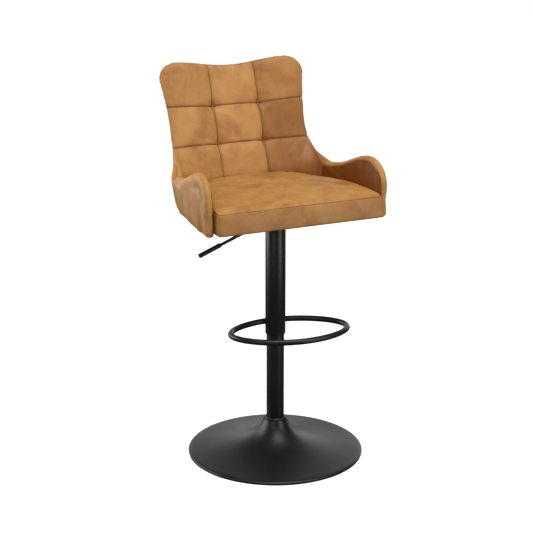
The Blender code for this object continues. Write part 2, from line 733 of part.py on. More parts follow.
def seat_pieces(lift, leather, wood, cloth):
    columns = spread(19, 1.5)
    steps = [0.0, 0.02, 0.06, 0.14, 0.26, 0.40, 0.55, 0.70, 0.82, 0.92, 0.98, 1.0]
    top, bottom = [], []
    for i, v in enumerate(steps):
        top.append([])
        bottom.append([])
        for j, u in enumerate(columns):
            x, y = seat_plan(u, v)
            rise = 1 - (1 - min(v / 0.5, 1.0)) ** 2 - 0.2 * smooth((v - 0.55) / 0.45)
            edge = 1 - (0.5 + 0.3 * smooth((v - 0.5) / 0.5)) * abs(u) ** 3
            z = SEAT_SEAM + SEAT_CROWN * rise * edge
            rake = SEAT_RAKE * max(0.0, 1 - v / 0.14)
            top[i].append(Vector((x, y + rake, z)))
            at_rim = i < 2 or i > len(steps) - 3 or j < 2 or j > len(columns) - 3
            bottom[i].append(Vector((x, y, SEAT_BOTTOM if at_rim else BOARD_BOTTOM + BOARD_THICK + GAP)))
    finish_mesh("seat_cushion", slab_mesh(top, bottom), leather, lift)

    board_columns = spread(7, 1.0)
    board_steps = [0.0, 0.5, 1.0]

    def layer(height, inset):
        plans = [[seat_plan(u, v, inset) for u in board_columns] for v in board_steps]
        return [[Vector((x, y, height)) for x, y in row] for row in plans]

    inset = 0.041
    board = finish_mesh(
        "seat_board",
        slab_mesh(layer(BOARD_BOTTOM, inset), layer(BOARD_BOTTOM + BOARD_THICK, inset)),
        wood,
        lift,
    )
    cover_bottom = PLATE_TOP + GAP
    cover = finish_mesh(
        "dust_cover",
        slab_mesh(layer(cover_bottom, 0.010), layer(SEAT_BOTTOM - GAP, 0.010)),
        cloth,
        lift,
    )
    return board, cover


# Straps, brackets and their screws

def hang_screw(name, shank, head, length, under, steel, place, lift):
    """A screw driven upwards, with its head under a face."""
    screw = bolt(name, shank, head, under - length, under, SCREW_HEAD_HEIGHT, steel, (*place, 0), lift)
    flip(screw, under)


def arm_straps(lift, boards, seat_board, cover, steel):
    """A flat strap under each side ties the arm board to the seat board with two screws."""
    shank, head, length = 0.002, 0.0042, 0.016
    under = FLAT_TOP - FLAT_THICK - GAP
    for side, word, board in ((-1, "left", boards[0]), (1, "right", boards[1])):
        inner_x, outer_x = side * STRAP_SCREW_X, side * arm_middle(STRAP_Y)
        ends = sorted((inner_x - side * STRAP_MARGIN, outer_x + side * STRAP_TIP))
        low = (ends[0], STRAP_Y - FLAT_HALF_WIDTH, FLAT_TOP - FLAT_THICK)
        high = (ends[1], STRAP_Y + FLAT_HALF_WIDTH, FLAT_TOP)
        strap = finish_mesh(f"arm_strap_{word}", box_mesh(low, high), steel, lift)
        drill_up(cover, f"cover_slot_{word}", shank + PLAY, inner_x, STRAP_Y)
        for where, x, target in (("inner", inner_x, seat_board), ("outer", outer_x, board)):
            drill_up(strap, f"strap_hole_{word}_{where}", shank + PLAY, x, STRAP_Y)
            drill_up(target, f"screw_hole_{word}_{where}", shank + GAP, x, STRAP_Y)
            hang_screw(f"strap_screw_{word}_{where}", shank, head, length, under, steel, (x, STRAP_Y), lift)


def back_brackets(lift, seat_board, cover, back_board, steel):
    """Two angle brackets tie the foot of the back board to the seat board, each with two screws."""
    shank, head, length = 0.0018, 0.0038, 0.014
    low, high, inside = FLAT_TOP - FLAT_THICK, BRACKET_RISE, BRACKET_FACE - FLAT_THICK
    outline = [(BRACKET_TOE, low), (BRACKET_FACE, low), (BRACKET_FACE, high), (inside, high)]
    outline += [(inside, FLAT_TOP), (BRACKET_TOE, FLAT_TOP)]
    y = BRACKET_TOE + BRACKET_SCREW_INSET
    for side, word in ((-1, "left"), (1, "right")):
        x = side * BRACKET_X
        sections = [[Vector((x + end * FLAT_HALF_WIDTH, run, z)) for run, z in outline] for end in (-1, 1)]
        bracket = finish_mesh(f"back_bracket_{word}", lofted_mesh(sections), steel, lift)
        for target, play in ((bracket, PLAY), (cover, PLAY), (seat_board, GAP)):
            drill_up(target, f"{target.name}_{word}_floor_hole", shank + play, x, y)
        hang_screw(f"bracket_screw_{word}_seat", shank, head, length, low - GAP, steel, (x, y), lift)
        wall = (x, BRACKET_FACE, BRACKET_LEVEL)
        for target, play in ((bracket, PLAY), (back_board, GAP)):
            hole = turned_mesh(disc_profile(shank + play, -0.012, 0.0085), 12)
            cut(target, f"{target.name}_{word}_wall_hole", hole, lift, wall).rotation_euler.x = -math.pi / 2
        name = f"bracket_screw_{word}_back"
        screw = bolt(name, shank, head, -0.007, FLAT_THICK + GAP, SCREW_HEAD_HEIGHT, steel, wall, lift)
        screw.rotation_euler.x = math.pi / 2


def build():
    for old in list(bpy.data.objects):
        bpy.data.objects.remove(old)
    steel = material("black_powder_coat", (0.016, 0.016, 0.017), 0.42, 0.0)
    zinc = material("zinc_plated_steel", (0.50, 0.50, 0.48), 0.35, 1.0)
    chrome = material("hard_chrome_rod", (0.60, 0.60, 0.62), 0.12, 1.0)
    iron = material("cast_iron", (0.06, 0.06, 0.06), 0.8, 0.6)
    plastic = material("black_nylon", (0.012, 0.012, 0.012), 0.45)
    rubber = material("black_rubber", (0.015, 0.015, 0.015), 0.8)
    leather = material("tan_leather", (0.46, 0.22, 0.075), 0.48)
    wood = material("birch_plywood", (0.60, 0.43, 0.26), 0.6)
    cloth = material("black_nonwoven", (0.01, 0.01, 0.01), 0.95)

    swivel = axis_empty("swivel_axis", (0, 0, 0))
    lift = axis_empty("lift_axis", (0, 0, 0), swivel)
    lever_axis = axis_empty("lever_axis", LEVER_PIVOT, lift)

    flange_top = base_pieces(steel, rubber, plastic, iron)
    column_pieces(flange_top, steel, plastic)
    rod_pieces(swivel, chrome, zinc, plastic, rubber)
    lift_pieces(lift, steel, steel, plastic)
    footrest(lift, steel)
    plate = mechanism(lift, steel, steel)
    lever(lever_axis, steel, plastic)
    turned("release_button", disc_profile(0.004, 0.5975, 0.6090), chrome, lift, segments=16)
    board, cover = seat_pieces(lift, leather, wood, cloth)
    plate_bolts(lift, plate, cover, board, zinc)
    back_board = back_pieces(lift, leather, wood)
    boards = [arm_pieces(lift, leather, wood, side, word) for side, word in ((-1, "left"), (1, "right"))]
    arm_straps(lift, boards, board, cover, zinc)
    back_brackets(lift, board, cover, back_board, zinc)


build()
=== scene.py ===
"""Looks of a height-adjustable bar stool with a footrest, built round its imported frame.

A leather bucket seat with a quilted back stands on a black powder-coated column, footrest ring and
trumpet base. Metres, +Z up, the sitter faces -Y.
"""

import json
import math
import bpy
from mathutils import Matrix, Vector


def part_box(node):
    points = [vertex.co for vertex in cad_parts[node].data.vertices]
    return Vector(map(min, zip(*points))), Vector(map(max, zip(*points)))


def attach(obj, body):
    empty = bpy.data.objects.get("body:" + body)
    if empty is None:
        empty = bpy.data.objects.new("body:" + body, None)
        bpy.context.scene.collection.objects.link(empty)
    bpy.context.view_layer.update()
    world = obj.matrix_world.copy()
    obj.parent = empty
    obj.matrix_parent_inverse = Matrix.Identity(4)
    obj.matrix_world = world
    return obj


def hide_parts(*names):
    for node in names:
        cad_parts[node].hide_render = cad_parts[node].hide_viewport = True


bl_info = {
    "name": "Bar Stool Looks",
    "version": (1, 0, 0),
    "blender": (4, 5, 0),
    "location": "View3D > Sidebar > Bar Stool",
    "description": "Builds the leather, steelwork and studio of a bar stool round its frame",
    "category": "Object",
}

import bpy
import numpy as np
from mathutils import Matrix, Vector

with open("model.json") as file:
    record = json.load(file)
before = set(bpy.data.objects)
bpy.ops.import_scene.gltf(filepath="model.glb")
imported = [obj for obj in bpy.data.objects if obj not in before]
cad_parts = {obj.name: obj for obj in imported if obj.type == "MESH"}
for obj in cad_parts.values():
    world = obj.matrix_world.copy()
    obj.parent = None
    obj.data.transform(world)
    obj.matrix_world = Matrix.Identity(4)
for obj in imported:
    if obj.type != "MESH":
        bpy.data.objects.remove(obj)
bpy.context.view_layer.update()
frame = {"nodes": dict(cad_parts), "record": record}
NODES = frame["nodes"]

BASE_LOW, BASE_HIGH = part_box("base_shell")
COLUMN_LOW, COLUMN_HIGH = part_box("lower_column")
SLEEVE_LOW, SLEEVE_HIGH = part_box("outer_sleeve")
RIM_LOW, RIM_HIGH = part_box("rim_ring")

# Base: the trumpet's height at a radius r is TRUMPET_RISE / (r + TRUMPET_OFFSET) + TRUMPET_SINK
TRUMPET_RISE, TRUMPET_OFFSET, TRUMPET_SINK = 0.0042685, 0.01472, -0.00976
NECK_RADIUS, LIP_RADIUS, EDGING_INNER = 0.0285, 0.219, 0.2175
COLUMN_WALL, SLEEVE_WALL = 0.0018, 0.0015
TUBE_STEPS = 80

# Footrest ring. ELLIPSE_HANDLE gives a true ellipse, and the ring's bend is slacker at the corners
RING_HALF_WIDTH, RING_FRONT, RING_BACK = 0.1495, -0.1690, 0.0135
ELLIPSE_HANDLE, RING_HANDLE = 0.5523, 0.5067
BEAD_RADIUS = 0.0013

# Lever
LEVER_PIVOT, LEVER_BEND = Vector((-0.024, 0, 0.6135)), Vector((-0.040, 0, 0.6105))
LEVER_END = Vector((-0.2085, 0, 0.5470))
LEVER_RADIUS, PIN_BORE, GRIP_LENGTH = 0.004, 0.0027, 0.062

# Seams of the seat and the outer back, and the distance stored where there is no seam near
SEAT_SEAM, REAR_SEAM_X, NO_SEAM = 0.684, 0.118, 0.05
CLOTH_PRESSURE, CLOTH_FRAMES = 4.0, 20


# Colour and node helpers

def linear(code):
    """An sRGB hex colour as linear red, green, blue and alpha."""
    parts = [int(code[k : k + 2], 16) / 255 for k in (1, 3, 5)]
    return [c / 12.92 if c <= 0.04045 else ((c + 0.055) / 1.055) ** 2.4 for c in parts] + [1.0]


def add_node(tree, kind, settings=None, links=None):
    """Adds a node.

    A setting is an input's name or number, or else a property. A ramp's stops are (position, hex colour)
    pairs. Links are input: output socket.
    """
    node = tree.nodes.new(kind)
    settings = dict(settings or {})
    stops = settings.pop("stops", ())
    while stops and len(node.color_ramp.elements) < len(stops):
        node.color_ramp.elements.new(0.5)
    for k, (position, colour) in enumerate(stops):
        node.color_ramp.elements[k].position = position
        node.color_ramp.elements[k].color = linear(colour)
    for key, value in settings.items():
        if isinstance(key, str) and key not in node.inputs:
            setattr(node, key, value)
    for key, value in settings.items():
        if not isinstance(key, str) or key in node.inputs:
            node.inputs[key].default_value = value
    for key, source in (links or {}).items():
        tree.links.new(source, node.inputs[key])
    return node


def new_material(name, colour, roughness, **sockets):
    """A material with its tree, its shader and the object's own coordinates. Underscores stand for spaces."""
    made = bpy.data.materials.new(name)
    made.use_nodes = True
    tree = made.node_tree
    shader = tree.nodes["Principled BSDF"]
    shader.inputs["Base Color"].default_value = linear(colour)
    shader.inputs["Roughness"].default_value = roughness
    for socket, value in sockets.items():
        shader.inputs[socket.replace("_", " ")].default_value = value
    place = add_node(tree, "ShaderNodeTexCoord").outputs["Object"]
    return made, tree, shader, place


def wire(tree, shader, colour=None, roughness=None, between=None, bumps=()):
    """Wires patterns to a shader: colour, roughness moved between two values, and bumps one over another.

    A bump is its height, its strength and its distance in metres.
    """
    if colour:
        tree.links.new(colour, shader.inputs["Base Color"])
    if roughness:
        low, high = between
        spread = add_node(tree, "ShaderNodeMapRange", {"To Min": low, "To Max": high}, {"Value": roughness})
        tree.links.new(spread.outputs["Result"], shader.inputs["Roughness"])
    under = {}
    for height, strength, distance in bumps:
        links = {"Height": height, **under}
        bump = add_node(tree, "ShaderNodeBump", {"Strength": strength, "Distance": distance}, links)
        under = {"Normal": bump.outputs["Normal"]}
    if under:
        tree.links.new(under["Normal"], shader.inputs["Normal"])


# Finishes

def powder_coated_steel(look):
    """Steel pressings and tube with a baked satin powder coat: a broad soft highlight over a fine ripple."""
    made, tree, shader, place = new_material("satin_powder_coat", "#101011", look.coat_roughness, IOR=1.5)
    # Powder flows out to a ripple of about 2 mm, drawn at 2.5 mm so that it still shows
    ripple = add_node(tree, "ShaderNodeTexNoise", {"Scale": 1 / 0.0025}, {"Vector": place}).outputs["Fac"]
    settings = {"Scale": 1 / 0.06, "Detail": 3.0}
    cloud = add_node(tree, "ShaderNodeTexNoise", settings, {"Vector": place}).outputs["Fac"]
    stops = [(0.35, look.coat_colour_dark), (0.70, look.coat_colour_light)]
    tint = add_node(tree, "ShaderNodeValToRGB", {"stops": stops}, {"Fac": cloud}).outputs["Color"]
    between = (look.coat_roughness - 0.05, look.coat_roughness + 0.06)
    wire(tree, shader, tint, cloud, between, [(ripple, 0.06, 0.0004)])
    return made


def moulded_nylon(look):
    """Injection moulded black nylon with an eroded mould texture, a little duller than the coated steel."""
    made, tree, shader, place = new_material("moulded_nylon", "#0B0B0C", 0.45, IOR=1.53)
    # Eroded moulds leave pits of about 0.3 mm, drawn at 1 mm so that they show in a close view
    settings = {"Scale": 1 / 0.001, "Detail": 1.0}
    pits = add_node(tree, "ShaderNodeTexNoise", settings, {"Vector": place}).outputs["Fac"]
    wire(tree, shader, None, pits, (0.42, 0.55), [(pits, 0.12, 0.0002)])
    return made


def moulded_rubber(look):
    """Compression moulded rubber, matt and slightly grey where dust clings."""
    made, tree, shader, place = new_material("moulded_rubber", "#101010", 0.82, IOR=1.52)
    settings = {"Scale": 1 / 0.02, "Detail": 4.0, "Roughness": 0.6}
    dust = add_node(tree, "ShaderNodeTexNoise", settings, {"Vector": place}).outputs["Fac"]
    stops = [(0.45, "#0E0E0E"), (0.8, "#1E1D1C")]
    tint = add_node(tree, "ShaderNodeValToRGB", {"stops": stops}, {"Fac": dust}).outputs["Color"]
    # The mould leaves a grain of about 1.5 mm
    grain = add_node(tree, "ShaderNodeTexNoise", {"Scale": 1 / 0.0015}, {"Vector": place}).outputs["Fac"]
    wire(tree, shader, tint, bumps=[(grain, 0.15, 0.0003)])
    return made


def zinc_plated_steel(look):
    """Stamped and turned steel with bright zinc plating: cloudy blue-grey patches and a rolled grain."""
    made, tree, shader, place = new_material("zinc_plated_steel", "#B7B9BC", 0.34, Metallic=1.0)
    # Plating clouds of about 12 mm, and the mill's grain of about 1.2 mm
    settings = {"Scale": 1 / 0.012, "Detail": 4.0, "Roughness": 0.6}
    cloud = add_node(tree, "ShaderNodeTexNoise", settings, {"Vector": place}).outputs["Fac"]
    stops = [(0.3, "#9EA3AA"), (0.55, "#BDBEBD"), (0.8, "#A9A595")]
    tint = add_node(tree, "ShaderNodeValToRGB", {"stops": stops}, {"Fac": cloud}).outputs["Color"]
    grain = add_node(tree, "ShaderNodeTexNoise", {"Scale": 1 / 0.0012}, {"Vector": place}).outputs["Fac"]
    wire(tree, shader, tint, cloud, (0.26, 0.42), [(grain, 0.08, 0.0002)])
    return made


def hard_chromed_rod(look):
    """Ground and hard-chromed steel rod. It is near mirror, with fine grinding rings round the axis."""
    made, tree, shader, place = new_material("hard_chromed_rod", "#C9CBCE", 0.10, Metallic=1.0)
    # Grinding marks of about 0.1 mm, drawn at 0.8 mm
    settings = {"bands_direction": "Z", "Scale": 1 / 0.0008 / 20, "Distortion": 0.4}
    rings = add_node(tree, "ShaderNodeTexWave", settings, {"Vector": place}).outputs["Fac"]
    wire(tree, shader, None, rings, (0.07, 0.16), [(rings, 0.03, 0.0001)])
    return made


def cast_iron_plate(look):
    """Sand-cast iron ballast. It keeps the sand's grain and a thin brown bloom."""
    made, tree, shader, place = new_material("sand_cast_iron", "#4A4642", 0.75, Metallic=0.4)
    # Casting sand leaves a grain of about 1.2 mm, and the bloom lies in patches of about 30 mm
    settings = {"Scale": 1 / 0.0012, "Detail": 3.0}
    grain = add_node(tree, "ShaderNodeTexNoise", settings, {"Vector": place}).outputs["Fac"]
    settings = {"Scale": 1 / 0.03, "Detail": 4.0, "Roughness": 0.65}
    bloom = add_node(tree, "ShaderNodeTexNoise", settings, {"Vector": place}).outputs["Fac"]
    stops = [(0.4, "#3B3937"), (0.75, "#5C4636")]
    tint = add_node(tree, "ShaderNodeValToRGB", {"stops": stops}, {"Fac": bloom}).outputs["Color"]
    wire(tree, shader, tint, grain, (0.65, 0.9), [(grain, 0.5, 0.0004)])
    return made


def birch_plywood(look):
    """Rotary-cut birch veneers glued in layers of about 1.5 mm. The edge shows pale and brown lines."""
    made, tree, shader, place = new_material("birch_plywood", "#C9A67A", 0.62)
    # A pale and a brown veneer together are 3 mm. The wood's grain runs along Y
    settings = {"bands_direction": "Z", "Scale": 1 / 0.003 / 20, "Distortion": 0.3}
    layers = add_node(tree, "ShaderNodeTexWave", settings, {"Vector": place}).outputs["Fac"]
    stretch = add_node(tree, "ShaderNodeMapping", {"Scale": (260, 18, 260)}, {"Vector": place})
    links = {"Vector": stretch.outputs["Vector"]}
    grain = add_node(tree, "ShaderNodeTexNoise", {"Scale": 1.0, "Detail": 4.0}, links).outputs["Fac"]
    blend = add_node(tree, "ShaderNodeMath", {"operation": "MULTIPLY_ADD", 1: 0.5}, {0: layers, 2: grain})
    stops = [(0.35, "#8E6A44"), (0.6, "#C6A174"), (0.95, "#DCC096")]
    tint = add_node(tree, "ShaderNodeValToRGB", {"stops": stops}, {"Fac": blend.outputs["Value"]})
    wire(tree, shader, tint.outputs["Color"], bumps=[(grain, 0.25, 0.0003)])
    return made


def spunbond_cloth(look):
    """Black spunbond polypropylene. Fibres pressed together leave a dimpled, matt sheet."""
    made, tree, shader, place = new_material("spunbond_cloth", "#141414", 0.95)
    # The bonding dimples are about 1 mm apart, drawn at 2 mm
    settings = {"Scale": 1 / 0.002, "Randomness": 0.35}
    dimples = add_node(tree, "ShaderNodeTexVoronoi", settings, {"Vector": place}).outputs["Distance"]
    settings = {"Scale": 1 / 0.0008, "Detail": 3.0, "Roughness": 0.7}
    fibres = add_node(tree, "ShaderNodeTexNoise", settings, {"Vector": place}).outputs["Fac"]
    stops = [(0.35, "#0E0E0F"), (0.7, "#232323")]
    tint = add_node(tree, "ShaderNodeValToRGB", {"stops": stops}, {"Fac": fibres}).outputs["Color"]
    wire(tree, shader, tint, bumps=[(fibres, 0.3, 0.0003), (dimples, 0.5, 0.0005)])
    return made


def hide_and_painted_light_colour(tree, look, clouds, smudges, specks):
    """The dye before sewing: clouds, smudges and specks, and a tone for each cut panel, which on some panels
    is painted light and shade.
    """
    stops = [(0.30, look.leather_deep), (0.47, look.leather_mid), (0.60, look.leather_mid)]
    stops += [(0.74, look.leather_light)]
    base = add_node(tree, "ShaderNodeValToRGB", {"stops": stops}, {"Fac": clouds}).outputs["Color"]
    stops = [(0.32, "#965F2A"), (0.50, "#BC884C"), (0.68, "#CB9B5E")]
    rubbed = add_node(tree, "ShaderNodeValToRGB", {"stops": stops}, {"Fac": smudges}).outputs["Color"]
    settings = {"data_type": "RGBA", "blend_type": "MIX", 0: look.smudge_share}
    mixed = add_node(tree, "ShaderNodeMix", settings, {6: base, 7: rubbed}).outputs[2]
    settings = {"From Min": 0.3, "From Max": 0.75, "To Min": 0.93, "To Max": 1.05}
    speckled = add_node(tree, "ShaderNodeMapRange", settings, {"Value": specks}).outputs["Result"]
    multiply = {"data_type": "RGBA", "blend_type": "MULTIPLY", 0: 1.0}
    toned = add_node(tree, "ShaderNodeMix", multiply, {6: mixed, 7: speckled}).outputs[2]
    # Each cut panel comes from another part of the hide, and its tone is stored from 0, deep, to 1, pale and
    # rosy.
    # The stored tone also holds painted light and shade: painted shade on the arms' inner faces and the
    # back's column at the sitter's left, painted light on the arms' facing strips and outer faces
    hide_and_painted_light = add_node(tree, "ShaderNodeAttribute", {"attribute_name": "panel_tone"}).outputs["Fac"]
    stops = [(0.0, "#AD875C"), (0.5, "#FAF8F4"), (1.0, "#FFFAFF")]
    cut = add_node(tree, "ShaderNodeValToRGB", {"stops": stops}, {"Fac": hide_and_painted_light}).outputs["Color"]
    return add_node(tree, "ShaderNodeMix", multiply, {6: toned, 7: cut}).outputs[2]


def colour_with_painted_seam_shade(tree, look, hide_and_painted_light, smudges):
    """The dye with painted shade beside the seams, and a dark line of painted shade in the crease itself.

    Each piece stores how far its points lie from its seams.
    """
    distances = []
    for name in ("seam_first", "seam_second"):
        field = add_node(tree, "ShaderNodeAttribute", {"attribute_name": name}).outputs["Fac"]
        size = add_node(tree, "ShaderNodeMath", {"operation": "ABSOLUTE"}, {0: field})
        distances.append(size.outputs["Value"])
    links = {0: distances[0], 1: distances[1]}
    nearest = add_node(tree, "ShaderNodeMath", {"operation": "MINIMUM"}, links).outputs["Value"]
    settings = {"operation": "MULTIPLY_ADD", 1: 0.010}
    uneven = add_node(tree, "ShaderNodeMath", settings, {0: smudges, 2: nearest}).outputs["Value"]
    colour = hide_and_painted_light
    # Painted shade: a broad halo darkens the dye beside each seam, and a dark line paints the shade in the
    # crease
    for distance, start, end, strength, shade_code in (
        (uneven, 0.002, 0.014, look.painted_seam_shade, look.painted_seam_shade_colour),
        (nearest, 0.0002, look.painted_crease_width, look.painted_crease_shade, "#3E2008"),
    ):
        settings = {"interpolation_type": "SMOOTHSTEP", "From Min": start, "From Max": end}
        settings.update({"To Min": strength, "To Max": 0.0})
        share = add_node(tree, "ShaderNodeMapRange", settings, {"Value": distance}).outputs["Result"]
        settings = {"data_type": "RGBA", "blend_type": "MIX", 7: linear(shade_code)}
        colour = add_node(tree, "ShaderNodeMix", settings, {0: share, 6: colour}).outputs[2]
    return colour


def waxed_leather(look):
    """Drum-dyed tan cowhide with a waxed, hand-rubbed finish. The dye is cloudy, with painted shade at the
    seams, and some panels carry painted light and shade in their tone.
    """
    made, tree, shader, place = new_material(
        "waxed_tan_leather", "#B07A42", look.leather_roughness, IOR=1.5, Specular_IOR_Level=0.34
    )
    # Clouds of dye a hand wide, smaller smudges from rubbing, and fine specks where wax stays in the pores
    settings = {"Scale": 1 / look.cloud_size, "Detail": 3.0, "Roughness": 0.55, "Distortion": 0.6}
    clouds = add_node(tree, "ShaderNodeTexNoise", settings, {"Vector": place}).outputs["Fac"]
    settings = {"Rotation": (0.3, 0.5, 0.7), "Scale": (1.0, 1.7, 0.8)}
    drift = add_node(tree, "ShaderNodeMapping", settings, {"Vector": place}).outputs["Vector"]
    settings = {"Scale": 1 / 0.048, "Detail": 4.0, "Roughness": 0.52, "Distortion": 0.3}
    smudges = add_node(tree, "ShaderNodeTexNoise", settings, {"Vector": drift}).outputs["Fac"]
    settings = {"Scale": 1 / 0.006, "Detail": 4.0, "Roughness": 0.7}
    specks = add_node(tree, "ShaderNodeTexNoise", settings, {"Vector": place}).outputs["Fac"]
    hide_and_painted_light = hide_and_painted_light_colour(tree, look, clouds, smudges, specks)
    # Hair cells of 0.2 mm lie in a pebble of about 1.5 mm, drawn at 2 mm, with stretch lines between larger
    # plates of 11 mm and soft folds of 30 mm under them
    settings = {"feature": "SMOOTH_F1", "Scale": 1 / 0.002, "Smoothness": 0.6}
    pebble = add_node(tree, "ShaderNodeTexVoronoi", settings, {"Vector": place}).outputs["Distance"]
    settings = {"feature": "DISTANCE_TO_EDGE", "Scale": 1 / 0.011, "Randomness": 1.0}
    plates = add_node(tree, "ShaderNodeTexVoronoi", settings, {"Vector": drift}).outputs["Distance"]
    lines = add_node(tree, "ShaderNodeMapRange", {"From Max": 0.12}, {"Value": plates}).outputs["Result"]
    settings = {"Scale": 1 / 0.030, "Roughness": 0.45, "Distortion": 0.5}
    folds = add_node(tree, "ShaderNodeTexNoise", settings, {"Vector": drift}).outputs["Fac"]
    bumps = [(folds, 0.10, 0.0016), (lines, 0.05, 0.0003), (pebble, 0.20, 0.0005)]
    between = (look.leather_roughness - 0.06, look.leather_roughness + 0.10)
    wire(tree, shader, colour_with_painted_seam_shade(tree, look, hide_and_painted_light, smudges), smudges, between, bumps)
    return made


FINISHES = {
    "black_powder_coat": powder_coated_steel,
    "black_plastic": moulded_nylon,
    "rubber": moulded_rubber,
    "zinc_steel": zinc_plated_steel,
    "chrome_rod": hard_chromed_rod,
    "cast_iron": cast_iron_plate,
    "plywood": birch_plywood,
    "dust_cloth": spunbond_cloth,
    "leather": waxed_leather,
}


def finish(slot_name):
    """The material for one of the record's slots, made the first time it is asked for."""
    look = bpy.context.scene.stool_finishes
    key = "made_" + slot_name
    if key not in bpy.context.scene:
        bpy.context.scene[key] = FINISHES[slot_name](look).name
    return bpy.data.materials[bpy.context.scene[key]]


# Modelling helpers

def clear_selection():
    if bpy.context.mode != "OBJECT":
        bpy.ops.object.mode_set(mode="OBJECT")
    bpy.ops.object.select_all(action="DESELECT")


def activate(piece):
    clear_selection()
    piece.select_set(True)
    bpy.context.view_layer.objects.active = piece


def edit(piece, mode="VERT"):
    """Opens a piece in edit mode with all of it selected."""
    activate(piece)
    bpy.ops.object.mode_set(mode="EDIT")
    bpy.ops.mesh.select_mode(type=mode)
    bpy.ops.mesh.select_all(action="SELECT")


def object_mode():
    bpy.ops.object.mode_set(mode="OBJECT")


def turned(name, profile, steps=96):
    """Draws a profile of (radius, height) points from one vertex and spins it round the Z axis."""
    clear_selection()
    bpy.ops.mesh.primitive_plane_add(size=0.01)
    piece = bpy.context.object
    piece.name = name
    edit(piece)
    bpy.ops.mesh.merge(type="CENTER")
    bpy.ops.transform.translate(value=(profile[0][0], 0, profile[0][1]))
    for start, end in zip(profile, profile[1:]):
        move = (end[0] - start[0], 0, end[1] - start[1])
        bpy.ops.mesh.extrude_region_move(TRANSFORM_OT_translate={"value": move})
    bpy.ops.mesh.select_all(action="SELECT")
    bpy.ops.mesh.remove_doubles(threshold=1e-6)
    bpy.ops.mesh.select_all(action="SELECT")
    bpy.ops.mesh.spin(steps=steps, angle=math.tau, center=(0, 0, 0), axis=(0, 0, 1))
    bpy.ops.mesh.select_all(action="SELECT")
    bpy.ops.mesh.remove_doubles(threshold=2e-6)
    bpy.ops.mesh.normals_make_consistent(inside=False)
    object_mode()
    return piece


def rounded(piece, width, segments=3, angle=35):
    """Bevels a piece's sharp edges and shades it smooth."""
    activate(piece)
    bpy.ops.object.modifier_add(type="BEVEL")
    bevel = piece.modifiers[-1]
    bevel.width = width
    bevel.segments = segments
    bevel.limit_method = "ANGLE"
    bevel.angle_limit = math.radians(angle)
    bevel.harden_normals = False
    bpy.ops.object.modifier_apply(modifier=bevel.name)
    shade(piece)


def shade(piece, angle=40):
    activate(piece)
    bpy.ops.object.shade_smooth_by_angle(angle=math.radians(angle))


def fill(piece, slot_name, body, *nodes):
    """Gives a piece its finish, its body and the frame nodes it stands for."""
    piece.data.materials.clear()
    piece.data.materials.append(finish(slot_name))
    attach(piece, body)
    if nodes:
        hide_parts(*nodes)


def settle_origin(piece):
    """Applies a piece's place, turn and size, so that its origin is the frame's."""
    activate(piece)
    bpy.ops.object.transform_apply(location=True, rotation=True, scale=True)


def subtract(piece, cutter):
    """Cuts a cutter out of a piece and removes the cutter."""
    activate(piece)
    bpy.ops.object.modifier_add(type="BOOLEAN")
    cut = piece.modifiers[-1]
    cut.operation = "DIFFERENCE"
    cut.solver = "EXACT"
    cut.object = cutter
    bpy.ops.object.modifier_apply(modifier=cut.name)
    bpy.data.objects.remove(cutter)


def smooth(amount):
    amount = np.clip(amount, 0.0, 1.0)
    return amount * amount * (3 - 2 * amount)


# Steelwork

def trumpet_height(radius):
    """Height of the pressed steel's upper face at a radius."""
    return TRUMPET_RISE / (radius + TRUMPET_OFFSET) + TRUMPET_SINK


def make_base(look):
    """The spun trumpet base with its rolled lip, and the dark edging under the lip."""
    rim = BASE_HIGH.x
    steps = 34
    radii = [NECK_RADIUS + (LIP_RADIUS - NECK_RADIUS) * (k / steps) ** 1.6 for k in range(steps + 1)]
    outside = [(radius, trumpet_height(radius)) for radius in radii]
    lip_turn = [(0.2218, 0.0079), (0.2236, 0.0069), (rim, 0.0054), (rim, BASE_LOW.z), (0.2225, BASE_LOW.z)]
    inside = [(radius - 0.0012, trumpet_height(radius) - 0.002) for radius in reversed(radii)]
    profile = outside + lip_turn + inside
    shell = turned("trumpet_base", profile + profile[:1], look.round_steps)
    rounded(shell, 0.0005, 2, 38)
    fill(shell, "black_powder_coat", "base", "base_shell")

    low, high, inner, outer = RIM_LOW.z, RIM_HIGH.z, EDGING_INNER, RIM_HIGH.x
    profile = [(inner, low), (outer, low), (outer, high), (inner, high), (inner, low)]
    ring = turned("base_edging", profile, look.round_steps)
    rounded(ring, 0.0006, 2)
    fill(ring, "rubber", "base", "rim_ring")


def make_tube(name, outer, wall, low, high, body, node):
    """A plain round tube with softened ends."""
    profile = [(outer, low), (outer, high), (outer - wall, high), (outer - wall, low), (outer, low)]
    tube = turned(name, profile, TUBE_STEPS)
    rounded(tube, 0.0005, 2)
    fill(tube, "black_powder_coat", body, node)


def make_nylon_ring(name, profile, body, node):
    ring = turned(name, profile, TUBE_STEPS)
    shade(ring, 50)
    fill(ring, "black_plastic", body, node)


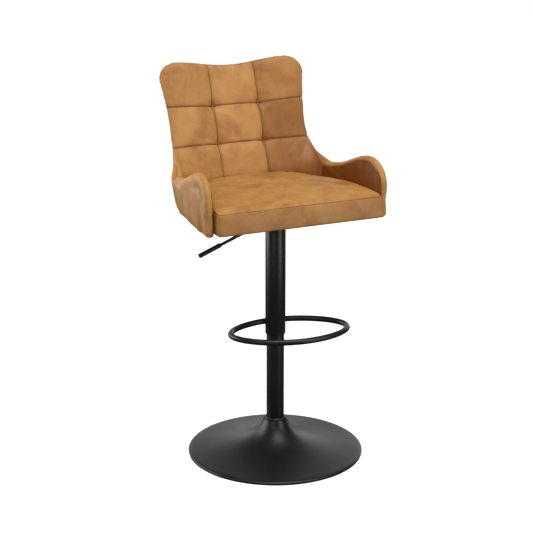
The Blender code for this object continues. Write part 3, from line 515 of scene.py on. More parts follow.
def make_column():
    """The fixed column with its collar, and the sleeve that slides over it on a nylon bush."""
    column = COLUMN_HIGH.x
    make_tube("column_tube", column, COLUMN_WALL, COLUMN_LOW.z, COLUMN_HIGH.z, "base", "lower_column")

    low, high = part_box("column_collar")
    inner = column + 0.0005
    profile = [(inner, low.z), (high.x - 0.0015, low.z), (high.x - 0.0015, 0.0885), (high.x - 0.0004, 0.0893)]
    profile += [(high.x, 0.0905), (high.x - 0.0003, 0.0918), (high.x - 0.0013, 0.0929)]
    profile += [(inner + 0.0008, high.z), (inner, high.z - 0.0004), (inner, low.z)]
    make_nylon_ring("column_collar_ring", profile, "base", "column_collar")

    outer = SLEEVE_HIGH.x
    make_tube("sleeve_tube", outer, SLEEVE_WALL, SLEEVE_LOW.z, SLEEVE_HIGH.z, "seat", "outer_sleeve")

    low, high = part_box("sleeve_bush")
    inner, shoulder, socket = column + 0.0004, SLEEVE_LOW.z - 0.0003, outer - SLEEVE_WALL - 0.0003
    profile = [(inner, low.z), (outer - 0.0026, low.z), (outer - 0.0010, low.z + 0.0012)]
    profile += [(outer, low.z + 0.0035), (outer, shoulder), (socket, shoulder)]
    profile += [(socket, high.z), (inner, high.z), (inner, low.z)]
    make_nylon_ring("sleeve_bush_ring", profile, "seat", "sleeve_bush")


def make_footrest(look):
    """The oval footrest: one bent tube whose ends are coped and welded to the sleeve."""
    low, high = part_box("footrest_ring")
    tube = (high.z - low.z) / 2
    height = (high.z + low.z) / 2
    half_depth, middle = (RING_BACK - RING_FRONT) / 2, (RING_BACK + RING_FRONT) / 2
    clear_selection()
    bpy.ops.curve.primitive_bezier_circle_add(radius=1.0)
    ring = bpy.context.object
    ring.name = "footrest_tube"
    for point in ring.data.splines[0].bezier_points:
        point.handle_left_type = point.handle_right_type = "FREE"
        point.handle_left = point.co + (point.handle_left - point.co) * RING_HANDLE / ELLIPSE_HANDLE
        point.handle_right = point.co + (point.handle_right - point.co) * RING_HANDLE / ELLIPSE_HANDLE
    ring.data.resolution_u = 40
    bpy.ops.object.mode_set(mode="EDIT")
    bpy.ops.curve.select_all(action="SELECT")
    bpy.ops.transform.resize(value=(RING_HALF_WIDTH, half_depth, 1.0), center_override=(0, 0, 0))
    object_mode()
    ring.data.bevel_depth = tube
    ring.data.bevel_resolution = 6
    ring.rotation_euler.z = look.footrest_turn
    ring.location = (0, middle, height)
    activate(ring)
    bpy.ops.object.convert(target="MESH")
    settle_origin(ring)
    edit(ring)
    bpy.ops.mesh.remove_doubles(threshold=1e-6)
    bpy.ops.mesh.normals_make_consistent(inside=False)
    object_mode()
    reach = SLEEVE_HIGH.x + 0.0002
    low, high = height - 0.03, height + 0.03
    subtract(ring, turned("cope", [(0, low), (reach, low), (reach, high), (0, high)], TUBE_STEPS))
    shade(ring, 60)
    fill(ring, "black_powder_coat", "seat", "footrest_ring")
    weld_footrest(ring, tube, height)


def weld_footrest(ring, tube, height):
    """A weld bead round each coped end of the footrest, where it meets the sleeve."""
    sleeve = SLEEVE_HIGH.x
    points = np.array([v.co[:] for v in ring.data.vertices])
    close = points[np.hypot(points[:, 0], points[:, 1]) < sleeve + 0.0006]
    for side, word in ((-1, "left"), (1, "right")):
        rim = close[close[:, 0] * side > 0]
        turn = np.arctan2(rim[:, 1], rim[:, 0] * side)
        low, high = turn.min(), turn.max()
        centre, half = (low + high) / 2, (high - low) / 2
        clear_selection()
        bpy.ops.mesh.primitive_torus_add(
            major_segments=40, minor_segments=10, major_radius=1.0, minor_radius=BEAD_RADIUS / tube
        )
        bead = bpy.context.object
        bead.name = f"footrest_weld_{word}"
        bead.scale = (tube, tube, tube)
        settle_origin(bead)
        # The bead lies round the tube's end, wrapped on the sleeve
        for v in bead.data.vertices:
            around = centre + v.co.x / tube * (half + 0.01)
            ripple = 1 + 0.05 * math.sin(24 * math.atan2(v.co.y, v.co.x))
            out = sleeve + v.co.z * ripple
            v.co = (side * out * math.cos(around), out * math.sin(around), height + v.co.y)
        edit(bead)
        bpy.ops.mesh.normals_make_consistent(inside=False)
        object_mode()
        shade(bead, 60)
        fill(bead, "black_powder_coat", "seat")


def make_lift_parts():
    """The lift housing and seat plate, with their edges broken as a pressing and a folded plate have them."""
    for node, name, width in (
        ("lift_housing", "lift_housing_casting", 0.0012),
        ("seat_plate", "seat_plate_pressing", 0.0009),
    ):
        piece = copied(node, name)
        edit(piece)
        bpy.ops.mesh.dissolve_limited(angle_limit=math.radians(2))
        object_mode()
        rounded(piece, width, 2, 60)
        fill(piece, "black_powder_coat", "seat", node)


def make_lever():
    """The bent release lever and its moulded grip."""
    run = (LEVER_BEND - LEVER_END).normalized()
    path = [LEVER_PIVOT + Vector((-0.010, 0, 0)), LEVER_BEND, LEVER_END + run * 0.004]
    arm = swept("lever_rod", path, LEVER_RADIUS, 24, 0.010)
    clear_selection()
    bpy.ops.mesh.primitive_cube_add(size=1.0, location=(-0.018, 0, 0.6137), scale=(0.048, 0.009, 0.0088))
    flat = bpy.context.object
    settle_origin(flat)
    rounded(flat, 0.0012, 2)
    activate(arm)
    bpy.ops.object.modifier_add(type="BOOLEAN")
    join = arm.modifiers[-1]
    join.operation, join.solver, join.object = "UNION", "EXACT", flat
    bpy.ops.object.modifier_apply(modifier=join.name)
    bpy.data.objects.remove(flat)
    clear_selection()
    bpy.ops.mesh.primitive_cylinder_add(
        vertices=24, radius=PIN_BORE, depth=0.02, location=LEVER_PIVOT, rotation=(math.pi / 2, 0, 0)
    )
    subtract(arm, bpy.context.object)
    shade(arm)
    fill(arm, "black_powder_coat", "lever", "lever_arm")

    start = LEVER_END + run * GRIP_LENGTH
    profile = [(0.0043, 0.0), (0.0050, 0.0), (0.0056, 0.0016), (0.0058, 0.004), (0.0058, 0.0592)]
    profile += [(0.0054, 0.0608), (0.0044, 0.0617), (0.0, GRIP_LENGTH), (0.0, 0.0574), (0.0043, 0.0574)]
    grip = turned("lever_grip_moulding", profile + profile[:1], 48)
    grip.data.transform(Matrix.Translation(start) @ (-run).to_track_quat("Z", "Y").to_matrix().to_4x4())
    edit(grip)
    bpy.ops.mesh.normals_make_consistent(inside=False)
    object_mode()
    shade(grip, 50)
    fill(grip, "black_plastic", "lever", "lever_grip")


def swept(name, points, radius, around, corner):
    """A round bar through points, with its bends rounded by a corner radius."""
    clear_selection()
    bpy.ops.curve.primitive_bezier_curve_add()
    bar = bpy.context.object
    bar.name = name
    path = [points[0]]
    for before, at, after in zip(points, points[1:], points[2:]):
        path += [at + (before - at).normalized() * min(corner, (before - at).length * 0.5)]
        path += [at + (after - at).normalized() * corner]
    path.append(points[-1])
    spline = bar.data.splines[0]
    spline.bezier_points.add(len(path) - 2)
    for knot, place in zip(spline.bezier_points, path):
        knot.handle_left_type = knot.handle_right_type = "AUTO"
        knot.co = place
    bar.data.resolution_u = 10
    bar.data.bevel_depth = radius
    bar.data.bevel_resolution = around // 4
    bar.data.use_fill_caps = True
    bar.data.twist_mode = "MINIMUM"
    bpy.ops.object.convert(target="MESH")
    settle_origin(bar)
    edit(bar)
    bpy.ops.mesh.remove_doubles(threshold=1e-6)
    bpy.ops.mesh.normals_make_consistent(inside=False)
    object_mode()
    return bar


def copied(node, name):
    """A merged copy of a frame node's mesh."""
    piece = bpy.data.objects.new(name, NODES[node].data.copy())
    piece.data.materials.clear()
    bpy.context.scene.collection.objects.link(piece)
    edit(piece)
    bpy.ops.mesh.remove_doubles(threshold=1e-5)
    bpy.ops.mesh.normals_make_consistent(inside=False)
    object_mode()
    return piece


# Upholstery

def points_of(piece):
    flat = np.empty(len(piece.data.vertices) * 3)
    piece.data.vertices.foreach_get("co", flat)
    return flat.reshape(-1, 3)


def normals_of(piece):
    flat = np.empty(len(piece.data.vertices) * 3)
    piece.data.vertex_normals.foreach_get("vector", flat)
    return flat.reshape(-1, 3)


def put_points(piece, points):
    piece.data.vertices.foreach_set("co", points.ravel())
    piece.data.update()


def stuffed(piece, voxel, relax, firmness, rise, thicken=0.0, refined=True):
    """Blows a piece up as cloth over its filling.

    firmness(points, normals) is 1 where the cover is sewn or glued down and 0 where it is free.
    rise(points, normals) is the most that each point may move. A thin rim is thickened while it is remeshed.
    """
    edit(piece)
    bpy.ops.transform.shrink_fatten(value=thicken)
    object_mode()
    piece.data.remesh_voxel_size = voxel
    piece.data.remesh_voxel_adaptivity = 0.0
    bpy.ops.object.voxel_remesh()
    edit(piece)
    bpy.ops.mesh.vertices_smooth(factor=0.5, repeat=relax)
    object_mode()
    put_points(piece, points_of(piece) - thicken * normals_of(piece))
    rest = points_of(piece)
    facing = normals_of(piece)
    held = firmness(rest, facing)
    limit = rise(rest, facing)
    group = piece.vertex_groups.new(name="held")
    for level in range(1, 11):
        members = np.nonzero(np.round(held * 10) == level)[0]
        group.add([int(k) for k in members], level / 10, "REPLACE")
    activate(piece)
    bpy.ops.object.modifier_add(type="CLOTH")
    cloth = piece.modifiers[-1]
    cloth.settings.quality = 5
    cloth.settings.mass = 0.3
    cloth.settings.use_pressure = True
    cloth.settings.uniform_pressure_force = CLOTH_PRESSURE
    cloth.settings.vertex_group_mass = "held"
    cloth.settings.tension_stiffness = 15
    cloth.settings.compression_stiffness = 15
    cloth.settings.bending_stiffness = 4.0
    cloth.settings.effector_weights.gravity = 0.0
    cloth.point_cache.frame_start = 1
    cloth.point_cache.frame_end = CLOTH_FRAMES
    for step in range(1, CLOTH_FRAMES + 1):
        bpy.context.scene.frame_set(step)
    bpy.ops.object.modifier_apply(modifier=cloth.name)
    bpy.context.scene.frame_set(1)
    piece.vertex_groups.clear()
    shift = points_of(piece) - rest
    length = np.maximum(np.linalg.norm(shift, axis=1), 1e-9)
    kept = limit * np.tanh(length / np.maximum(limit, 1e-6))
    moved = rest + shift * (kept / length)[:, None]
    put_points(piece, moved)
    activate(piece)
    if refined:
        bpy.ops.object.modifier_add(type="SUBSURF")
        finer = piece.modifiers[-1]
        finer.levels = finer.render_levels = 1
        bpy.ops.object.modifier_apply(modifier=finer.name)


def sew(piece, first, second, depth, width, on, tone):
    """Draws a cover in along its seams.

    first and second are signed distances from two sets of seams, and on is 1 where the seams are sewn. The
    distances and the tone of each point are stored for the leather: the distances set the painted shade along
    the seams, and the tone holds painted light and shade on some panels.
    """
    points = points_of(piece)
    facing = normals_of(piece)
    near = np.minimum(np.abs(first), np.abs(second))
    pull = depth * np.exp(-((near / width) ** 2)) + 0.45 * depth * np.exp(-((near / (4 * width)) ** 2))
    put_points(piece, points - facing * (pull * on)[:, None])
    first, second = np.clip(first, -NO_SEAM, NO_SEAM), np.clip(second, -NO_SEAM, NO_SEAM)
    for name, values in (("seam_first", first), ("seam_second", second), ("panel_tone", tone)):
        layer = piece.data.attributes.new(name, "FLOAT", "POINT")
        layer.data.foreach_set("value", (values + np.zeros(len(points))).astype(np.float32))


def press(piece, toward, overlap, wider):
    """Presses a back piece's hidden face along Y into its neighbour, and widens its wings."""
    points, facing = points_of(piece), normals_of(piece)
    points[:, 1] += toward * overlap * smooth((toward * facing[:, 1] - 0.1) / 0.6)
    points[:, 0] += np.sign(points[:, 0]) * wider * smooth((np.abs(points[:, 0]) - 0.14) / 0.04)
    put_points(piece, points)
    edit(piece)
    bpy.ops.mesh.vertices_smooth(factor=0.5, repeat=4)
    bpy.ops.mesh.select_all(action="DESELECT")
    object_mode()
    rim = np.abs(facing[:, 1]) < 0.8
    piece.data.vertices.foreach_set("select", rim)
    bpy.ops.object.mode_set(mode="EDIT")
    bpy.ops.mesh.vertices_smooth(factor=0.5, repeat=18)
    object_mode()


def pinch(points, centres, depth, radius):
    """How far each point is drawn in towards stitched points."""
    pull = np.zeros(len(points))
    for centre in centres:
        away = np.linalg.norm(points - np.array(centre), axis=1)
        pull += depth * np.exp(-((away / radius) ** 2))
    return pull


# Tones of the quilted squares, from the bottom row up, each from the sitter's right.
# The middle column's pale tone is the hide's own; the column at the sitter's left is darker as painted shade,
# where the wing turns from the light
QUILT_TONES_AND_PAINTED_SHADE = np.array([(0.45, 0.58, 0.22), (0.50, 0.85, 0.18), (0.44, 0.60, 0.36)])
QUILT_X = 0.064
QUILT_LOW, QUILT_HIGH = 0.780, 0.873
QUILT_ROWS = (0.191, QUILT_LOW), (0.2215, QUILT_HIGH)
QUILT_POINTS = [(side * QUILT_X, y, z) for side in (-1, 1) for y, z in QUILT_ROWS]


def quilt_fields(points):
    """Signed distances from the quilted back's upright seams and cross seams."""
    x, z = np.abs(points[:, 0]), points[:, 2]
    upper = QUILT_HIGH + 0.004 * smooth((x - QUILT_X) / 0.12)
    return x - QUILT_X, (z - QUILT_LOW) * (upper - z) / (upper - QUILT_LOW)


def make_back(look):
    """The quilted inner back with its wings, and the plain outer back."""
    pad = copied("back_cushion", "quilted_back")

    def firmness(points, facing):
        upright, across = quilt_fields(points)
        near = np.minimum(np.abs(upright), np.abs(across))
        front = smooth((-facing[:, 1] + 0.1) / 0.5)
        stitched = np.zeros(len(points))
        for centre in QUILT_POINTS:
            away = np.linalg.norm(points - np.array(centre), axis=1)
            stitched = np.maximum(stitched, np.exp(-((away / 0.010) ** 2)))
        seam = 0.6 * np.exp(-((near / 0.005) ** 2))
        return np.clip(np.maximum(1 - front, np.maximum(seam, stitched)), 0, 1)

    def rise(points, facing):
        front = smooth((-facing[:, 1] + 0.1) / 0.5)
        upright, across = quilt_fields(points)
        near = np.minimum(np.abs(upright), np.abs(across))
        return 0.0008 + look.quilt_rise * front * (0.35 + 0.65 * smooth(near / 0.028))

    stuffed(pad, look.fine_voxel, 12, firmness, rise, look.rim_thicken)
    press(pad, 1, look.overlap, look.wing_edge)
    points, facing = points_of(pad), normals_of(pad)
    upright, across = quilt_fields(points)
    front = smooth((-facing[:, 1] + 0.2) / 0.4)
    pull = pinch(points, QUILT_POINTS, look.tuft_depth, 0.019) + pinch(points, QUILT_POINTS, 0.0045, 0.007)
    put_points(pad, points - facing * (pull * front)[:, None])
    column = np.where(points[:, 0] < -QUILT_X, 0, np.where(points[:, 0] > QUILT_X, 2, 1))
    row = np.where(points[:, 2] < QUILT_LOW, 0, np.where(points[:, 2] > QUILT_HIGH, 2, 1))
    sew(pad, upright, across, look.seam_depth, 0.0020, front, QUILT_TONES_AND_PAINTED_SHADE[row, column])
    shade(pad, 180)
    fill(pad, "leather", "seat", "back_cushion")

    cover = copied("back_cover", "outer_back")

    def cover_firmness(points, facing):
        return np.clip(1 - smooth((facing[:, 1] + 0.2) / 0.6), 0, 1)

    def cover_rise(points, facing):
        return 0.0008 + 0.003 * smooth((facing[:, 1] + 0.2) / 0.6)

    stuffed(cover, look.fine_voxel, 8, cover_firmness, cover_rise, look.rim_thicken, refined=False)
    press(cover, -1, look.overlap, -look.wing_edge)
    points, facing = points_of(cover), normals_of(cover)
    rear = smooth((facing[:, 1] - 0.1) / 0.3)
    upright = np.where(rear > 0.5, np.abs(points[:, 0]) - REAR_SEAM_X, NO_SEAM)
    sew(cover, upright, NO_SEAM, 0.0016, 0.0022, rear, 0.5)
    shade(cover, 180)
    fill(cover, "leather", "seat", "back_cover")


def outline_inset(points, outline):
    """How far inside an outline in the Y and Z plane each point lies."""
    best = np.full(len(points), 1.0)
    for (y0, z0), (y1, z1) in zip(outline, outline[1:]):
        run = np.array([y1 - y0, z1 - z0])
        rel = points[:, 1:3] - np.array([y0, z0])
        share = np.clip(rel @ run / (run @ run), 0, 1)
        away = np.linalg.norm(rel - share[:, None] * run, axis=1)
        best = np.minimum(best, away)
    return best


ARM_OUTLINE = [(-0.130, 0.560), (-0.130, 0.705), (-0.1275, 0.722), (-0.120, 0.740), (-0.106, 0.7565)]
ARM_OUTLINE += [(-0.088, 0.7665), (-0.068, 0.7705), (-0.035, 0.766), (0.005, 0.752), (0.045, 0.737)]
ARM_OUTLINE += [(0.085, 0.7275), (0.200, 0.7235)]


def make_arms(look):
    """The two padded arms, each with a facing strip sewn along its top and front."""
    for word in ("left", "right"):
        arm = copied(f"arm_pad_{word}", f"padded_arm_{word}")
        core = copied(f"arm_board_{word}", "core")
        edit(core)
        bpy.ops.transform.shrink_fatten(value=0.0015)
        object_mode()
        arm.select_set(True)
        bpy.context.view_layer.objects.active = arm
        bpy.ops.object.join()

        def firmness(points, facing):
            bottom = smooth((0.645 - points[:, 2]) / 0.012)
            joint = smooth((points[:, 1] - 0.112) / 0.008)
            return np.clip(np.maximum(0.6 * bottom, joint), 0, 1)

        def rise(points, facing):
            flat = np.abs(facing[:, 0])
            return 0.0008 + look.arm_rise * smooth(flat)

        stuffed(arm, look.voxel, 8, firmness, rise)
        points, facing = points_of(arm), normals_of(arm)
        inner = -facing[:, 0] * np.sign(points[:, 0])
        joint = smooth((facing[:, 1] - 0.3) / 0.5) * smooth((points[:, 1] - 0.09) / 0.02)
        points[:, 1] += look.overlap * joint
        inset = outline_inset(points, ARM_OUTLINE)
        outside = smooth(-inner / 0.5) * smooth(-points[:, 1] / 0.05)
        valley = np.exp(-(((inset - 0.034) / 0.012) ** 2)) * outside
        points -= facing * (look.arm_valley * valley)[:, None]
        reach = look.strip_inset * smooth((points[:, 1] + 0.128) / 0.03) + 0.0035
        strip = np.where(inner > 0.0, inset - reach, NO_SEAM)
        foot = smooth((-facing[:, 2] - 0.2) / 0.5) * smooth((0.65 - points[:, 2]) / 0.01)
        points[:, 2] -= look.arm_foot * foot
        put_points(arm, points)
        # Painted light and shade in the tone: the inner face is toned deep as painted shade, and the facing
        # strip and the outer face paler as painted light
        tone = np.where(inner > 0.2, np.where(strip > 0.0, 0.0, 0.8), 0.7)
        sew(arm, 2.0 * strip, NO_SEAM, 0.0004, 0.0016, smooth(inner / 0.3), tone)
        shade(arm, 180)
        fill(arm, "leather", "seat", f"arm_pad_{word}")


def make_seat(look):
    """The boxed seat cushion: a crowned top sewn to a plain front band."""
    seat = copied("seat_cushion", "boxed_seat")

    def firmness(points, facing):
        bottom = smooth((0.640 - points[:, 2]) / 0.006)
        front = smooth((-points[:, 1] - 0.12) / 0.02)
        seam = 0.8 * np.exp(-(((points[:, 2] - SEAT_SEAM) / 0.004) ** 2)) * front
        return np.clip(np.maximum(bottom, seam), 0, 1)

    def rise(points, facing):
        top = smooth((facing[:, 2] - 0.3) / 0.5)
        front = smooth((-facing[:, 1] - 0.4) / 0.4)
        return 0.0008 + look.seat_rise * top + 0.0022 * front

    stuffed(seat, 0.0045, 6, firmness, rise)
    points, facing = points_of(seat), normals_of(seat)
    seam = points[:, 2] - SEAT_SEAM
    side = np.abs(points[:, 0])
    points[:, 0] += np.sign(points[:, 0]) * look.side_press * smooth((side - 0.17) / 0.03)
    corner = smooth((side - 0.06) / 0.13) * smooth((points[:, 1] + 0.02) / 0.15)
    points[:, 2] -= look.corner_drop * corner * smooth((facing[:, 2] - 0.2) / 0.5)
    put_points(seat, points)
    # The front band below the seam is toned darker than the top
    tone = np.where(seam < 0, 0.36, 0.5)
    sew(seat, seam, NO_SEAM, 0.0016, 0.0024, smooth((-points[:, 1] - 0.09) / 0.03), tone)
    shade(seat, 180)
    fill(seat, "leather", "seat", "seat_cushion")


def dress_frame():
    """Every frame node that still shows gets its finish."""
    for entry in frame["record"]["subparts"]:
        node = NODES[entry["node"]]
        made = finish(entry["material_slot"])
        for slot in node.material_slots:
            slot.link = "OBJECT"
            slot.material = made


# Studio

def make_studio(look):
    """A pale floor, a white room, soft lights and the camera."""
    scene = bpy.context.scene
    scene.view_settings.view_transform = "Standard"
    clear_selection()
    bpy.ops.mesh.primitive_plane_add(size=24.0, location=(0, 0, 0))
    floor = bpy.context.object
    floor.name = "studio_floor"
    lit = {"Specular_IOR_Level": 0.0, "Emission_Color": (1, 1, 1, 1)}
    paper = new_material("matt_paper", "#9A9A9A", 0.9, Emission_Strength=look.floor_glow, **lit)[0]
    floor.data.materials.append(paper)

    clear_selection()
    bpy.ops.mesh.primitive_uv_sphere_add(segments=48, ring_count=24, radius=11.5)
    backdrop = bpy.context.object
    backdrop.name = "studio_backdrop"
    glow = new_material("lit_backdrop", "#000000", 1.0, Emission_Strength=1.0, **lit)[0]
    backdrop.data.materials.append(glow)
    # The bright room is for the eye. The stool is lit and mirrored by the soft boxes in a dim room
    for screen in (floor, backdrop):
        for kind in ("glossy", "transmission", "diffuse", "shadow"):
            setattr(screen, f"visible_{kind}", False)

    world = bpy.data.worlds.new("dim_room")
    scene.world = world
    world.use_nodes = True
    sky = world.node_tree.nodes["Background"]
    sky.inputs["Color"].default_value = linear(look.room_colour)
    sky.inputs["Strength"].default_value = look.room_strength

    for name, place, size, power in (
        ("top_light", (0.0, -0.9, 3.2), (2.0, 2.0), look.top_power),
        ("front_light", (1.3, -2.6, 1.0), (1.1, 2.4), look.front_power),
        ("fill_light", (-2.0, -2.0, 1.2), (1.6, 1.6), look.fill_power),
        ("left_light", (-2.2, 1.6, 1.1), (2.2, 1.9), look.left_power),
        ("right_light", (2.4, 1.7, 0.9), (2.0, 1.6), look.right_power),
        ("rear_light", (0.0, 4.2, 0.9), (5.0, 1.6), look.rear_power),
    ):
        clear_selection()
        bpy.ops.object.light_add(type="AREA", location=place)
        light = bpy.context.object
        light.name = name
        light.visible_camera = False
        light.data.shape = "RECTANGLE"
        light.data.size, light.data.size_y = size
        light.data.energy = power
        light.rotation_euler = (Vector((0, 0, 0.6)) - Vector(place)).to_track_quat("-Z", "Y").to_euler()

    clear_selection()
    bpy.ops.object.camera_add(
        location=(-1.516, -3.014, 1.466), rotation=(math.radians(73.94), 0, math.radians(-26.32))
    )
    camera = bpy.context.object
    camera.name = "studio_camera"
    camera.data.sensor_width = 36.0
    camera.data.lens = look.lens
    scene.camera = camera


# Settings

class StoolFinishes(bpy.types.PropertyGroup):
    coat_colour_dark: bpy.props.StringProperty(
        name="Coat, dark", description="Darker powder coat tone, sRGB hex", default="#0D0D0E"
    )
    coat_colour_light: bpy.props.StringProperty(
        name="Coat, light", description="Lighter powder coat tone, sRGB hex", default="#131314"
    )
    coat_roughness: bpy.props.FloatProperty(
        name="Coat roughness", description="Roughness of the powder coat", default=0.40, min=0.1, max=1.0
    )
    leather_deep: bpy.props.StringProperty(
        name="Leather, deep", description="Darkest cloud in the dye, sRGB hex", default="#A0662F"
    )
    leather_mid: bpy.props.StringProperty(
        name="Leather, middle", description="Main tone of the dye, sRGB hex", default="#C18B49"
    )
    leather_light: bpy.props.StringProperty(
        name="Leather, light", description="Lightest cloud in the dye, sRGB hex", default="#CF9F60"
    )
    # Painted shade: the colour painted beside a seam for the shade there
    painted_seam_shade_colour: bpy.props.StringProperty(
        name="Leather, seams", description="Tone that the dye takes beside a seam, sRGB hex",
        default="#8C5826",
    )
    leather_roughness: bpy.props.FloatProperty(
        name="Leather roughness", description="Roughness of the waxed face", default=0.46, min=0.1, max=1.0
    )
    cloud_size: bpy.props.FloatProperty(
        name="Cloud size", description="Width of a cloud in the dye", default=0.085, unit="LENGTH"
    )
    smudge_share: bpy.props.FloatProperty(
        name="Smudges", description="How much the rubbed smudges show",
        default=0.4, subtype="FACTOR", min=0, max=1,
    )
    # Painted shade: how dark the painted shade beside a seam is
    painted_seam_shade: bpy.props.FloatProperty(
        name="Seam shade", description="How dark the dye is beside a seam",
        default=0.26, subtype="FACTOR", min=0, max=1,
    )
    # Painted shade: distance from a seam at which the painted dark line in its crease ends
    painted_crease_width: bpy.props.FloatProperty(
        name="Seam line", description="Distance from a seam at which its crease ends",
        default=0.0010, unit="LENGTH", precision=4,
    )
    # Painted shade: how dark the painted line of shade in a crease is
    painted_crease_shade: bpy.props.FloatProperty(
        name="Seam line strength", description="How dark the crease is",
        default=0.85, subtype="FACTOR", min=0, max=1,
    )


class StoolSteelwork(bpy.types.PropertyGroup):
    round_steps: bpy.props.IntProperty(
        name="Base steps", description="Steps in a turn of the base", default=144, min=32, max=256
    )
    footrest_turn: bpy.props.FloatProperty(
        name="Footrest turn", description="Turn of the footrest about its own middle",
        default=math.radians(-9.5), subtype="ANGLE",
    )


class StoolUpholstery(bpy.types.PropertyGroup):
    voxel: bpy.props.FloatProperty(
        name="Cover grain", description="Size of the cover's first mesh",
        default=0.004, unit="LENGTH", precision=4,
    )
    fine_voxel: bpy.props.FloatProperty(
        name="Back grain", description="Size of the back covers' first mesh",
        default=0.003, unit="LENGTH", precision=4,
    )
    rim_thicken: bpy.props.FloatProperty(
        name="Rim thickening", description="How much the back's thin rim is thickened while it is remeshed",
        default=0.0014, unit="LENGTH", precision=4,
    )
    quilt_rise: bpy.props.FloatProperty(
        name="Quilt rise", description="Most that a quilted square swells",
        default=0.013, unit="LENGTH", precision=4,
    )
    tuft_depth: bpy.props.FloatProperty(
        name="Tuft depth", description="How deep the crossings are drawn in",
        default=0.008, unit="LENGTH", precision=4,
    )
    seam_depth: bpy.props.FloatProperty(
        name="Seam depth", description="How deep the quilting seams are drawn in",
        default=0.003, unit="LENGTH", precision=4,
    )
    arm_rise: bpy.props.FloatProperty(
        name="Arm rise", description="Most that the arm pads swell",
        default=0.0025, unit="LENGTH", precision=4,
    )
    overlap: bpy.props.FloatProperty(
        name="Joint overlap", description="How far covers press into each other where they are sewn together",
        default=0.004, unit="LENGTH", precision=4,
    )
    wing_edge: bpy.props.FloatProperty(
        name="Wing edge", description="How far the inner back's wings stand out at the joint",
        default=0.0015, unit="LENGTH", precision=4,
    )
    arm_foot: bpy.props.FloatProperty(
        name="Arm foot", description="How far the arm's cover hangs under its board",
        default=0.0025, unit="LENGTH", precision=4,
    )
    arm_valley: bpy.props.FloatProperty(
        name="Arm hollow", description="Depth of the hollow behind the arm's rolled front",
        default=0.0025, unit="LENGTH", precision=4,
    )
    strip_inset: bpy.props.FloatProperty(
        name="Facing strip", description="Distance of the facing strip's seam from the arm's edge",
        default=0.008, unit="LENGTH", precision=4,
    )
    side_press: bpy.props.FloatProperty(
        name="Side press", description="How far the seat presses into the arms",
        default=0.0025, unit="LENGTH", precision=4,
    )
    corner_drop: bpy.props.FloatProperty(
        name="Corner drop", description="How much lower the seat's rear corners lie",
        default=0.006, unit="LENGTH", precision=4,
    )
    seat_rise: bpy.props.FloatProperty(
        name="Seat rise", description="Most that the seat's top swells",
        default=0.0022, unit="LENGTH", precision=4,
    )


class StoolStudio(bpy.types.PropertyGroup):
    room_colour: bpy.props.StringProperty(
        name="Room colour", description="Colour of the dim room, sRGB hex", default="#FFFFFF"
    )
    room_strength: bpy.props.FloatProperty(
        name="Room strength", description="Light from the dim room", default=0.12, min=0
    )
    floor_glow: bpy.props.FloatProperty(
        name="Floor glow", description="Light that the paper floor gives off", default=1.0, min=0
    )
    top_power: bpy.props.FloatProperty(
        name="Top light", description="Power of the light over the seat", default=63.0, unit="POWER"
    )
    front_power: bpy.props.FloatProperty(
        name="Front light", description="Power of the light at the front right", default=31.0, unit="POWER"
    )
    fill_power: bpy.props.FloatProperty(
        name="Fill light", description="Power of the light at the front left", default=10.0, unit="POWER"
    )
    left_power: bpy.props.FloatProperty(
        name="Left light", description="Power of the light behind the left side", default=50.0, unit="POWER"
    )
    right_power: bpy.props.FloatProperty(
        name="Right light", description="Power of the light behind the right side", default=15.0, unit="POWER"
    )
    rear_power: bpy.props.FloatProperty(
        name="Rear light", description="Power of the low light behind the stool", default=30.0, unit="POWER"
    )
    lens: bpy.props.FloatProperty(
        name="Lens", description="Focal length in millimetres on a 36 mm sensor", default=94.56
    )


# Operators

class STOOL_OT_base(bpy.types.Operator):
    """Model the trumpet base and its edging"""
    bl_idname = "stool.base"
    bl_label = "Base"

    def execute(self, context):
        make_base(context.scene.stool_steelwork)
        return {"FINISHED"}


class STOOL_OT_column(bpy.types.Operator):
    """Model the column, its collar, the sleeve and its bush"""
    bl_idname = "stool.column"
    bl_label = "Column"

    def execute(self, context):
        make_column()
        return {"FINISHED"}


class STOOL_OT_footrest(bpy.types.Operator):
    """Bend the footrest ring and weld it to the sleeve"""
    bl_idname = "stool.footrest"
    bl_label = "Footrest"

    def execute(self, context):
        make_footrest(context.scene.stool_steelwork)
        return {"FINISHED"}


class STOOL_OT_lift(bpy.types.Operator):
    """Break the edges of the lift housing and the seat plate"""
    bl_idname = "stool.lift"
    bl_label = "Lift housing"

    def execute(self, context):
        make_lift_parts()
        return {"FINISHED"}


class STOOL_OT_lever(bpy.types.Operator):
    """Model the release lever and its grip"""
    bl_idname = "stool.lever"
    bl_label = "Lever"

    def execute(self, context):
        make_lever()
        return {"FINISHED"}


class STOOL_OT_seat(bpy.types.Operator):
    """Stuff and sew the seat cushion"""
    bl_idname = "stool.seat"
    bl_label = "Seat"

    def execute(self, context):
        make_seat(context.scene.stool_upholstery)
        return {"FINISHED"}


class STOOL_OT_back(bpy.types.Operator):
    """Stuff and quilt the back, and cover its rear"""
    bl_idname = "stool.back"
    bl_label = "Back"

    def execute(self, context):
        make_back(context.scene.stool_upholstery)
        return {"FINISHED"}


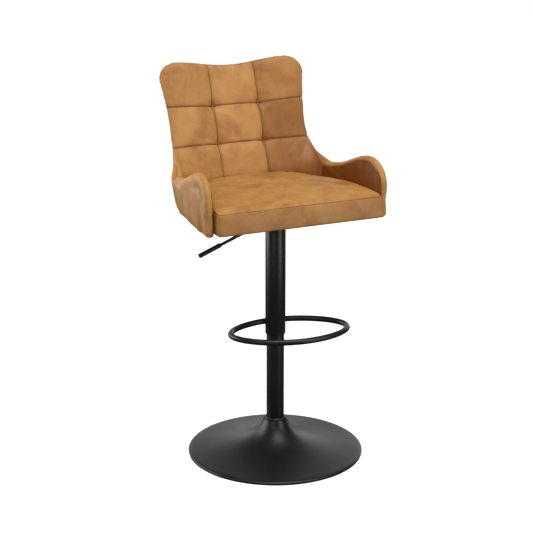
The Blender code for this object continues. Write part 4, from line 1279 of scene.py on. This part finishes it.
class STOOL_OT_arms(bpy.types.Operator):
    """Stuff and sew the arms"""
    bl_idname = "stool.arms"
    bl_label = "Arms"

    def execute(self, context):
        make_arms(context.scene.stool_upholstery)
        return {"FINISHED"}


class STOOL_OT_fittings(bpy.types.Operator):
    """Give the frame's own screws, plates and boards their finishes"""
    bl_idname = "stool.fittings"
    bl_label = "Fittings"

    def execute(self, context):
        dress_frame()
        return {"FINISHED"}


class STOOL_OT_studio(bpy.types.Operator):
    """Set up the floor, the lights and the camera"""
    bl_idname = "stool.studio"
    bl_label = "Studio"

    def execute(self, context):
        make_studio(context.scene.stool_studio)
        return {"FINISHED"}


class STOOL_PT_panel(bpy.types.Panel):
    """Lists the stool's pieces in the sidebar"""
    bl_idname = "STOOL_PT_panel"
    bl_label = "Bar Stool"
    bl_space_type = "VIEW_3D"
    bl_region_type = "UI"
    bl_category = "Bar Stool"

    def draw(self, context):
        column = self.layout.column()
        for step in STEPS:
            column.operator(step.bl_idname)


STEPS = (
    STOOL_OT_base,
    STOOL_OT_column,
    STOOL_OT_footrest,
    STOOL_OT_lift,
    STOOL_OT_lever,
    STOOL_OT_seat,
    STOOL_OT_back,
    STOOL_OT_arms,
    STOOL_OT_fittings,
    STOOL_OT_studio,
)
SETTINGS = {
    "stool_finishes": StoolFinishes,
    "stool_steelwork": StoolSteelwork,
    "stool_upholstery": StoolUpholstery,
    "stool_studio": StoolStudio,
}
CLASSES = (*SETTINGS.values(), *STEPS, STOOL_PT_panel)


def register():
    for cls in CLASSES:
        bpy.utils.register_class(cls)
    for name, group in SETTINGS.items():
        setattr(bpy.types.Scene, name, bpy.props.PointerProperty(type=group))


def unregister():
    for name in SETTINGS:
        delattr(bpy.types.Scene, name)
    for cls in reversed(CLASSES):
        bpy.utils.unregister_class(cls)


def main():
    register()
    bpy.ops.stool.base()
    bpy.ops.stool.column()
    bpy.ops.stool.footrest()
    bpy.ops.stool.lift()
    bpy.ops.stool.lever()
    bpy.ops.stool.seat()
    bpy.ops.stool.back()
    bpy.ops.stool.arms()
    bpy.ops.stool.fittings()
    bpy.ops.stool.studio()


if __name__ == "__main__":
    main()
